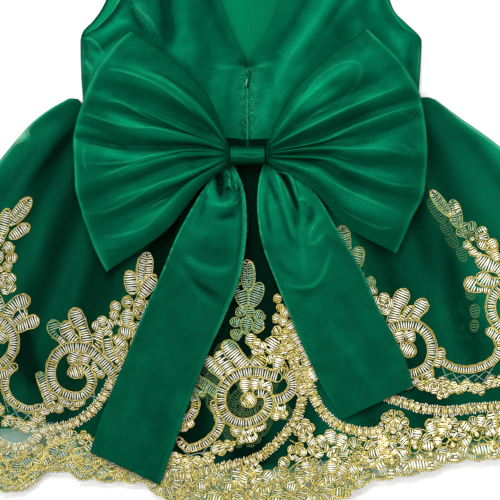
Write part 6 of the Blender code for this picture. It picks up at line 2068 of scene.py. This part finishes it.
def dense_border(L, s0, s1, tall=46.0, seed=5):
    """Crowded flowers, petals and vines over the scallops."""
    rng = np.random.default_rng(seed)
    unit = 66.0
    k0 = s0
    turn = 0
    while k0 < s1 - 20:
        def at(ds, d, j=1.0):
            s = min(max(k0 + ds + rng.normal(0, j), s0 + 3), s1 - 3)
            q = from_hem(s, d + rng.normal(0, 0.6 * j))
            tilt = from_hem(s, d + 6.0) - q
            return q[0], q[1], math.degrees(math.atan2(-tilt[1], tilt[0]))

        x, y, a = at(4, tall - 10)
        L.rosette(x, y, 12.5 if turn % 2 else 14.0, rng.uniform(0, 60))
        x, y, a = at(34, tall - 23)
        L.medallion(x, y, 13.5, a, 7, 200, 4.2)
        x, y, a = at(55, tall - 19)
        L.leaf(x, y, a - 8, 17, 9.0)
        x, y, a = at(62, tall - 20)
        L.leaf(x, y, a - 24, 14, 7.5)
        x, y, a = at(14, tall - 27)
        L.leaf(x, y, a + 30, 14, 7.5)
        # the hem's half wheels of petals
        x, y, a = at(6, 19)
        L.medallion(x, y, 12.0, a + 180, 6, 170, 4.1, bare=True)
        x, y, a = at(22, 13)
        L.leaf(x, y, a - 104, 21, 9.5, sparse=1.2)
        x, y, a = at(46, 19)
        L.medallion(x, y, 12.0, a + 180, 6, 170, 4.0, bare=True)
        x, y, a = at(61, 14)
        L.bud(x, y, 4.6, a + 50, 1.6)
        for ds, d, r in ((18, 29, 3.8), (24, 22, 3.4), (58, 25, 3.8), (64, 31, 3.4), (34, 31, 2.8), (32, 12, 3.0)):
            x, y, a = at(ds, d * tall / 46.0)
            L.bud(x, y, r, a + rng.normal(0, 40), 1.2)
        s = np.arange(k0 - 4, min(k0 + unit, s1), 1.8)
        if len(s) > 3:
            ph = 2 * math.pi * s / unit
            for mid, amp, fr, off in ((25, 8, 2, 0.0), (27, 7, 2, 2.4), (14, 4, 3, 1.0), (34, 5, 3, 0.6), (21, 9, 1, 3.2),
                                      (30, 7, 1, 1.2), (17, 6, 2, 4.0)):
                L.ribbon(from_hem(s, (mid + amp * np.sin(fr * ph + off)) * tall / 46.0), w=0.50, clip=True)
        k0 += unit
        turn += 1


def flowing_border(L, s0, s1, tall=50.0, seed=5):
    """Long crossing cords over pale, thinly stitched petals."""
    rng = np.random.default_rng(seed)
    s = np.arange(s0, s1, 1.8)
    for mid, amp, wave, off, w in ((10, 5, 47, 0.3, 0.56), (15, 7, 63, 2.0, 0.60), (21, 8, 55, 3.9, 0.52), (26, 9, 71, 1.2, 0.60),
                                   (31, 8, 58, 5.0, 0.52), (37, 6, 66, 2.7, 0.56), (24, 14, 83, 4.4, 0.60)):
        d = (mid + amp * np.sin(2 * math.pi * s / wave + off)) * tall / 50.0
        L.ribbon(from_hem(s, d), w=w)
        if w > 0.55:
            L.ribbon(from_hem(s + 0.8, d + 1.7), w=0.36, h=0.6)
    k = s0 + 6
    turn = 0
    while k < s1 - 8:
        def at(ds, d):
            q = from_hem(min(max(k + ds, s0 + 3), s1 - 3), d * tall / 50.0)
            tilt = from_hem(min(max(k + ds, s0 + 3), s1 - 3), d * tall / 50.0 + 6.0) - q
            return q[0], q[1], math.degrees(math.atan2(-tilt[1], tilt[0]))

        x, y, a = at(2, 42)
        L.flower(x, y, 6.5, 5, rng.uniform(0, 70))
        for ds, d, turned, ln, w in ((0, 8, 28, 16, 9), (9, 7, -34, 15, 8.5), (5, 19, 8, 15, 9.5), (14, 18, -52, 14, 8), (-3, 24, 46, 14, 8),
                                     (8, 31, -20, 12, 8)):
            x, y, a = at(ds + rng.normal(0, 1), d + rng.normal(0, 1))
            L.leaf(x, y, a + turned + rng.normal(0, 10), ln, w, sparse=1.05, twin=False, kind=2 if (turn + ds) % 3 else 1)
        k += 18 + rng.normal(0, 1)
        turn += 1


def centre_motif(L):
    """Spiral and leaves between the two tails, its own tall spire above."""
    L.leaf(248, 291, 92, 31, 13.0, mid=True)
    L.leaf(245, 307, 108, 25, 12.5)
    L.leaf(251, 307, 68, 26, 13.0)
    for x, y, r, a, g in ((240, 312, 4.6, 30, 1.1), (250, 312, 4.4, 90, 1.0), (260, 315, 4.6, 150, 1.1),
                          (235, 322, 4.6, 10, 1.1), (247, 325, 5.4, 90, 1.5), (258, 326, 5.0, 60, 1.3),
                          (237, 334, 4.6, 330, 1.1), (250, 339, 4.4, 90, 1.2)):
        L.bud(x, y, r, a, g)
    L.golden, L.rib = 0.10, 0.80
    L.bud(248, 401, 6.4, 40, 1.1)
    L.band([(277, 377), (262, 373), (249, 372), (237, 375), (227, 383), (221.5, 394), (222, 407), (229, 418),
            (241, 423), (254, 421), (265, 413), (269, 402), (265, 394), (257, 393)], 10.2, 8.4)
    L.band([(270, 376), (282, 372), (291, 377), (293, 388), (286, 397), (274, 401)], 9.0, 8.0)
    L.lobe([(250, 371), (242, 363), (233, 353), (225, 342)], 14.5, foot=0.8, waist=0.84)
    L.lobe([(236, 380), (230, 371), (224, 362), (217, 352)], 12.0, foot=0.9, waist=0.80)
    L.lobe([(226, 379), (220, 373), (212, 366), (206, 357)], 9.5, foot=0.8, waist=0.76)
    L.lobe([(247, 374), (253, 368), (259, 362), (264, 355)], 14.0, foot=0.8, waist=0.9)
    L.bud(244.5, 386, 4.6, 88, 1.6)
    L.bud(255, 384, 4.4, 84, 1.4)
    L.bud(266.5, 387, 5.4, 112, 1.6)
    L.band([(214.5, 404), (219, 414), (220.5, 424), (217, 432), (211, 439), (202, 445), (190, 449), (182, 445), (179, 440)], 8.0, 5.6)
    L.bud(278, 363, 4.6, 84, 1.7)
    L.flower(258, 347, 8.0, 5, 20)
    L.leaf(268, 352, 62, 17, 13)
    L.leaf(266, 360, 14, 17, 8)
    L.bud(280, 407, 4.8, 30, 1.2)
    L.bud(284, 414, 3.6, 60, 1.1)
    L.bud(276, 417, 3.4, 80, 1.1)
    L.bud(236, 431, 4.0, 100, 1.3)
    L.bud(247, 430, 5.4, 30, 1.3)
    L.bud(258, 427, 4.6, 20, 1.5)
    L.bud(251, 438, 4.6, 20, 1.5)
    L.bud(242, 440, 3.6, 60, 1.1)
    L.golden = 0.30
    # the climbing chain beside the right tail
    for x, y, r, a, g in ((278, 299, 3.2, 70, 1.2), (280, 307, 3.0, 20, 1.1), (287, 313, 3.8, 150, 1.1),
                          (276, 318, 3.2, 60, 1.1), (283, 322, 3.6, 90, 1.2), (292, 327, 4.6, 120, 1.4),
                          (277, 330, 3.8, 40, 1.1), (285, 335, 4.8, 100, 1.2), (297, 340, 4.6, 124, 1.7),
                          (277, 342, 4.6, 70, 1.3), (303, 351, 4.6, 124, 1.7), (291, 349, 4.4, 112, 1.6),
                          (307, 363, 4.6, 120, 1.7), (284, 354, 3.8, 90, 1.4), (299, 363, 4.2, 118, 1.5),
                          (312, 375, 4.8, 124, 1.4)):
        L.bud(x, y, r, a, g)
    L.stem([(277, 297), (282, 318), (290, 344), (300, 372), (306, 392)])
    L.stem([(280, 326), (284, 345), (294, 368), (300, 384)])
    L.stem([(268, 338), (276, 350), (285, 368)])
    L.stem([(282, 330), (293, 350), (303, 372), (309, 390)])
    L.stem([(272, 334), (279, 352), (290, 372), (298, 390)])


def build_lace():
    out = []
    total = HEM_FRAME[0][-1]

    def s_of(x):
        return float(np.interp(x, HEM_FRAME[1], HEM_FRAME[0]))

    mats = [GOLD, CREAM, NETTING, VEIL_GOLD, VEIL_CREAM, VEIL_CREAM]
    # left part
    L = Lace(11)
    L.fine = 0.90
    L.place(72, 372, 0, 1.0)
    L.spray()
    L.place(-9, 346, -56, 0.98, True)
    L.spray(tall=False, fans=False)
    L.place()
    L.lobe([(7, 317), (10, 309), (17, 303), (29, 299.5)], 13.0, foot=0.8, waist=0.80)
    L.lobe([(9, 324), (15, 318), (20, 314), (27, 311)], 12.5, foot=0.8, waist=0.92)
    L.lobe([(12, 329), (21, 327), (30, 323), (39, 319)], 11.5, foot=0.8, waist=0.80)
    L.lobe([(5, 318), (1, 309), (-4, 301), (-10, 294)], 13.0, foot=0.8, waist=0.80)
    L.place(-4, 336, -46, 1.0, True)
    L.spray(fans=False, scroll=False, slim=0.80)
    L.place(-72, 372, -20, 0.9)
    L.spray(False)
    L.place()
    L.band([(14, 367), (7, 374), (5, 386), (9, 397), (18, 405), (29, 409), (38, 407)], 7.2, 5.6)
    L.band([(-70, 396), (-56, 404), (-42, 404), (-32, 396), (-30, 386)], 7.0, 5.6)
    L.garland([(-40, 412), (-22, 406), (-8, 408), (2, 415), (12, 422), (24, 428), (36, 422), (46, 412)])
    L.netting([(0, 392), (8, 402), (22, 411), (38, 411)], [(-8, 408), (8, 419), (24, 426), (40, 418)], 4)
    L.netting([(84, 398), (98, 386)], [(92, 412), (104, 396)], 2)
    L.braid([(-96, 404), (-78, 402), (-60, 414), (-40, 426), (-20, 432), (-4, 440), (12, 448), (26, 446), (36, 438), (43, 430)])
    L.braid([(43, 430), (58, 427.5), (72, 424), (86, 416), (97, 405), (106, 392), (113, 378), (120, 364), (130, 352)])
    L.fine, L.golden = 1.0, 0.30
    flowing_border(L, 4, s_of(120), 50, 5)
    L.golden = 0.1
    scallop_edge(L, 2, s_of(120))
    out.append(L.mesh("lace_left", net_height, mats, veiled))
    # middle
    L = Lace(12)
    centre_motif(L)
    L.place(176, 398, 14, 0.9)
    L.spray(False)
    L.place()
    L.garland([(140, 440), (158, 452), (176, 460), (190, 464), (203, 461), (214, 452), (224, 446), (236, 442)])
    L.netting([(178, 449), (194, 454), (208, 446), (221, 432)], [(176, 458), (196, 463), (214, 452), (232, 441)], 4)
    L.braid([(118, 440), (134, 456), (152, 470), (171, 475), (186, 476), (199, 474), (223, 467), (247, 462), (265, 453),
             (282, 437), (296, 419), (302, 399), (300, 382), (295, 366), (289, 352), (284, 340)])
    L.golden = 0.30
    L.rosette(394, 425, 14.5, 20)
    # the raised group of flowers right of the middle
    L.flower(304, 430, 11.5, 6, 20)
    L.flower(318, 446, 11.0, 5, 60)
    L.bud(331, 437, 5.6, 110, 1.3)
    L.bud(341, 441, 5.4, 70, 1.3)
    L.medallion(359, 458, 15.0, 92, 6, 150, 4.8)
    L.bud(383, 446, 4.8, 80, 1.5)
    L.flower(297, 452, 10.0, 5, 0)
    L.flower(336, 455, 9.0, 5, 30)
    L.netting([(303, 462), (317, 459), (331, 463)], [(306, 479), (318, 477), (330, 478)], 4)
    for x, y, r, a, g in ((283, 462, 4.6, 60, 1.2), (306, 466, 4.2, 100, 1.2), (331, 468, 4.8, 80, 1.3), (341, 472, 4.6, 60, 1.3),
                          (352, 470, 4.4, 30, 1.2), (371, 461, 4.6, 120, 1.3), (379, 457, 4.2, 60, 1.2), (388, 456, 4.4, 90, 1.2)):
        L.bud(x, y, r, a, g)
    L.stem([(286, 474), (296, 464), (312, 456), (330, 449), (350, 446), (372, 450), (392, 444)])
    L.stem([(290, 440), (300, 446), (312, 452), (330, 452), (348, 462), (366, 468), (384, 462)])
    L.stem([(340, 478), (352, 466), (366, 458), (380, 446), (394, 442)])
    L.braid([(297, 352), (304, 366), (308, 380), (313, 395), (322, 411), (336, 424), (352, 430), (368, 432), (384, 431), (394, 429)])
    L.golden, L.rib = 0.50, 0.78
    dense_border(L, s_of(120), s_of(390), 48, 6)
    L.golden = 0.1
    scallop_edge(L, s_of(120), s_of(372))
    out.append(L.mesh("lace_middle", net_height, mats, veiled))
    # right part
    L = Lace(13)
    L.fine, L.rib = 0.84, 0.70
    th = np.linspace(0, 2 * math.pi, 24, endpoint=False)
    L.keep(np.stack([394 + 14.5 * np.cos(th), 425 + 14.5 * np.sin(th)], -1))
    L.place(411, 350, -3, 1.0, True)
    L.spray(foot=16, fans=False)
    L.place()
    L.lobe([(392, 326), (395, 313), (400, 301), (406, 289)], 14.0, foot=0.9)
    L.lobe([(409, 325), (415, 316), (420, 308), (425, 299)], 12.5)
    L.lobe([(401, 325), (405, 317), (410, 311), (413, 306)], 9.0, foot=0.8)
    L.place(513, 310, 36, 1.0)
    L.spray(tall=False)
    L.place()
    L.leaf(450.5, 216, 127, 32, 9.5, mid=True)
    L.leaf(459, 227, 104, 28, 12.5, mid=True)
    L.medallion(472, 239, 11.5, 62, 6, 180, 4.3)
    for x, y, r, a, g in ((463, 233, 2.8, 120, 1.3), (467, 246, 3.2, 130, 1.2), (473, 251, 3.4, 300, 1.3), (479, 255, 2.8, 320, 1.2),
                          (488, 250, 3.0, 100, 1.4), (493, 244, 3.4, 120, 1.7), (496, 256, 3.6, 110, 1.5), (485, 258, 2.6, 60, 1.2)):
        L.bud(x, y, r, a, g)
    L.stem([(459, 226), (466, 238), (474, 250), (482, 262)])
    L.stem([(489, 238), (494, 250), (499, 262)])
    L.place(590, 352, 10, 0.9, True)
    L.spray(False)
    L.place()
    L.band([(491, 331), (497, 337), (500, 347), (496, 358), (485, 366), (470, 370), (455, 368.5), (443, 362), (438, 353)], 7.4, 5.4)
    L.band([(568, 372), (560, 384), (545, 390), (530, 386), (522, 376)], 7.0, 5.4)
    L.garland([(404, 382), (418, 378), (430, 382), (444, 385), (458, 387), (472, 388), (486, 386), (500, 380), (516, 388), (536, 396), (556, 392), (572, 378)])
    L.netting([(438, 364), (453, 373), (470, 375), (486, 371), (500, 360)], [(428, 380), (446, 384), (464, 386), (484, 384), (504, 378)], 6)
    L.braid([(366, 388), (378, 394), (390, 398), (409, 404.5), (425, 409), (441, 410.5), (457, 410.5), (473, 408), (500, 407), (528, 410), (552, 402), (576, 388), (600, 366), (618, 346)])
    L.fine, L.golden, L.rib = 0.96, 0.04, 1.02
    dense_border(L, s_of(390), total - 4, 52, 7)
    scallop_edge(L, s_of(372), total - 2)
    out.append(L.mesh("lace_right", net_height, mats, veiled))
    # embroidery of the layer beneath, seen faintly through the mesh
    L = Lace(14, pitch=2.6, cord_step=2.4)
    L.place(250, 412, 0, 0.9)
    L.spray(False)
    L.place(226, 394, 0, 0.8, True)
    L.spray(False)
    L.place()
    # a fold's loose netting below the right border's leaves
    for x, y, a, n, w in ((445, 224, 124, 30, 9), (450, 236, 112, 20, 10), (457, 248, 120, 20, 10), (465, 262, 112, 18, 9),
                          (472, 300, 100, 14, 9), (476, 318, 96, 14, 9), (474, 332, 84, 12, 8)):
        L.leaf(x, y, a, n, w, twin=False)
    out.append(L.mesh("lace_under", lambda x, y: net_height(x, y) - 1.45, [GHOST_GOLD, GHOST, GHOST]))
    # front of the dress: the same border on its outer face, down on the table
    L = Lace(15, pitch=4.2, cord_step=4.0, down=True)
    for cx, cy, rot, mir in ((-40, 372, 16, False), (56, 366, 4, True), (150, 392, 2, False), (262, 404, 0, True),
                             (356, 388, -2, False), (452, 360, -6, True), (556, 336, -20, False)):
        L.place(cx, cy, rot, 0.95, mir)
        L.spray()
    L.place()
    dense_border(L, 6, total - 6, 46, 9)
    scallop_edge(L, 4, total - 4)
    out.append(L.mesh("lace_front", front_net_height, [GOLD, CREAM, NETTING]))
    for o in out:
        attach(o, "dress")
    return out


GHOST_GOLD = thread("cord_beneath", lin(70, 128, 58), lin(150, 180, 92), 0.6, 0.0)
GHOST = thread("thread_beneath", lin(84, 146, 96), lin(168, 208, 150), 0.65, 0.0)
VEIL_GOLD = thread("cord_veiled", lin(96, 130, 62), lin(196, 208, 120), 0.5, 0.0)
VEIL_CREAM = thread("thread_veiled", lin(100, 146, 108), lin(190, 220, 184), 0.5, 0.0)


# ----------------------------------------------------------- floor and camera
def build_stage():
    n = Nodes("floor_paper")
    g = n.noise(n.place(40.0), detail=2.0)
    n.set(Base_Color=n.mix(g, lin(248, 248, 247), lin(252, 252, 251)), Roughness=0.9, Specular_IOR_Level=0.1,
          Emission_Color=(1.0, 1.0, 1.0), Emission_Strength=0.06)
    me = bpy.data.meshes.new("floor")
    s = 4.0
    me.from_pydata([(-s, -s, -0.0004), (s, -s, -0.0004), (s, s, -0.0004), (-s, s, -0.0004)], [], [(0, 1, 2, 3)])
    me.materials.append(n.mat)
    floor = bpy.data.objects.new("floor", me)
    bpy.context.scene.collection.objects.link(floor)

    world = bpy.data.worlds.new("studio")
    world.use_nodes = True
    bg = world.node_tree.nodes["Background"]
    bg.inputs["Color"].default_value = (1.0, 1.0, 1.0, 1.0)
    bg.inputs["Strength"].default_value = WORLD
    bpy.context.scene.world = world

    for name, loc, aim, size, size_y, power in LIGHTS:
        d = bpy.data.lights.new(name, "AREA")
        d.shape = "RECTANGLE"
        d.size, d.size_y = size, size_y
        d.energy = power
        o = bpy.data.objects.new(name, d)
        o.location = loc
        v = np.asarray(aim, float) - np.asarray(loc, float)
        v /= np.linalg.norm(v)
        yaw = math.atan2(v[1], v[0])
        pitch = math.acos(-v[2])
        o.rotation_euler = (pitch, 0, yaw - math.pi / 2)
        bpy.context.scene.collection.objects.link(o)


WORLD = 0.42
LIGHTS = [("key", (-0.30, 1.25, 1.55), (0, 0, 0), 2.0, 0.9, 44.0),
          ("side", (-1.5, -0.2, 1.4), (0, 0, 0), 1.0, 1.0, 12.0),
          ("front", (0.5, -1.4, 1.5), (0, 0, 0), 1.4, 0.8, 8.0)]
VIEW_MM = 400.0


def build_camera():
    cam = bpy.data.cameras.new("camera")
    cam.lens = 300.0
    cam.sensor_width = 36.0
    cam.clip_start, cam.clip_end = 0.1, 60.0
    o = bpy.data.objects.new("camera", cam)
    cx = (250.0 - GX0) * UNIT
    cy = (GY0 - 250.0) * UNIT
    o.location = (cx, cy, 0.008 + VIEW_MM * MM * cam.lens / cam.sensor_width)
    o.rotation_euler = (0, 0, 0)
    bpy.context.scene.collection.objects.link(o)
    bpy.context.scene.camera = o
    bpy.context.scene.view_settings.view_transform = "Standard"
    bpy.context.scene.view_settings.look = "None"


build_stage()
build_camera()
front_panel, front_lining = build_front()
back_left, back_right = build_back(True), build_back(False)
mesh_back, lining_back, lining_front, mesh_front = build_skirt()
loop_left = build_loop("loop_left", "bow_loop_left", FINE_LEFT, 229.2, MARKS_LEFT, 101)
loop_right = build_loop("loop_right", "bow_loop_right", FINE_RIGHT, 265.8, MARKS_RIGHT, 131)
tail_left = build_tail("tail_left", "bow_tail_left", TAIL_LEFT, MARKS_TAIL_LEFT, 151, True)
tail_right = build_tail("tail_right", "bow_tail_right", TAIL_RIGHT, MARKS_TAIL_RIGHT, 171, False)
knot = build_knot()
lace = build_lace()


def enamel(name, drop=False):
    """Green enamelled metal with fine wear; the slider gets painted glint flecks, the tab a painted highlight streak
    and a painted shaded side.
    """
    n = Nodes(name)
    a = n.noise(n.object_place(900.0), detail=3.0)
    b = n.noise(n.object_place(90.0), detail=2.0)
    col = n.mix(n.remap(a, 0.35, 0.65, 0.0, 1.0), lin(1, 70, 46), lin(4, 112, 78))
    if drop:
        # the tone attribute paints a shaded side and a highlight streak on the tab
        tone = n.attribute("tone")
        col = n.mix(n.remap(tone, 0.0, 0.6, 0.0, 1.0), lin(1, 50, 33), col)
        col = n.mix(n.remap(tone, 0.7, 1.0, 0.0, 1.0), col, lin(170, 228, 206))
    else:
        # painted glint flecks
        col = n.mix(n.math("ADD", n.remap(a, 0.60, 0.72, 0.0, 0.7), 0.0, True), col, lin(150, 214, 190))
    n.set(Base_Color=col, Metallic=0.2, Specular_IOR_Level=0.12, Specular_Tint=(0.2, 0.95, 0.7),
          Roughness=n.remap(b, 0.3, 0.7, 0.22, 0.34), Normal=n.bump(a, 0.08, 0.0001))
    return n.mat


def build_pull():
    """Small drop-shaped tab, rounded on its face."""
    a, b = np.array([249.55, 70.4]), np.array([246.15, 88.4])
    t = np.linspace(0, 1, 34)
    th = np.linspace(0, 2 * math.pi, 29)
    ax = (b - a) / np.hypot(*(b - a))
    pr = np.array([-ax[1], ax[0]])
    half = (1.15 + 1.45 * ramp((t - 0.25) / 0.55)) * np.sqrt(np.clip(1 - np.clip((t - 0.86) / 0.14, 0, 1) ** 2, 0, 1)) * np.sqrt(np.clip(t / 0.03, 0, 1))
    TH, H = np.meshgrid(th, half)
    S = np.cos(TH)
    T = np.broadcast_to(t[:, None], S.shape)
    gx = a[0] + (b - a)[0] * T + pr[0] * S * H
    gy = a[1] + (b - a)[1] * T + pr[1] * S * H
    z = 7.0 + np.where(np.sin(TH) > 0, 0.95, 0.22) * np.sin(TH) * np.clip(H / 2.2, 0.1, 1)
    # painted highlight streak on one side of the face, painted shade on the other side
    side = S if pr[0] < 0 else -S
    streak = np.exp(-((side - 0.40) / 0.13) ** 2) * ramp((T - 0.40) / 0.20) * ramp((0.90 - T) / 0.16) * (np.sin(TH) > 0)
    tone = np.clip(0.45 - 0.38 * ramp((-side - 0.1) / 0.5) + 0.85 * streak, 0, 1)
    o = grid_piece("pull_drop", gx, gy, z, DROP, tone=tone, thick=0)
    bm = bmesh.new()
    bm.from_mesh(o.data)
    bmesh.ops.remove_doubles(bm, verts=bm.verts[:], dist=1e-6)
    bmesh.ops.holes_fill(bm, edges=[e for e in bm.edges if e.is_boundary])
    bmesh.ops.recalc_face_normals(bm, faces=bm.faces[:])
    bm.to_mesh(o.data)
    bm.free()
    o.data.shade_smooth()
    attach(o, "zip_pull")
    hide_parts("zip_pull")
    return o


METAL = enamel("zip_enamel")
DROP = enamel("tab_enamel", True)
pull_drop = build_pull()
TAPE_MAT = satin("zip_tape_cloth", lin(2, 60, 42), lin(4, 98, 68), lin(20, 140, 100), 0.5, 0.1)

for node, m in (("zip_tape", TAPE_MAT), ("zip_slider", METAL)):
    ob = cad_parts[node]
    ob.data.materials.clear()
    ob.data.materials.append(m)
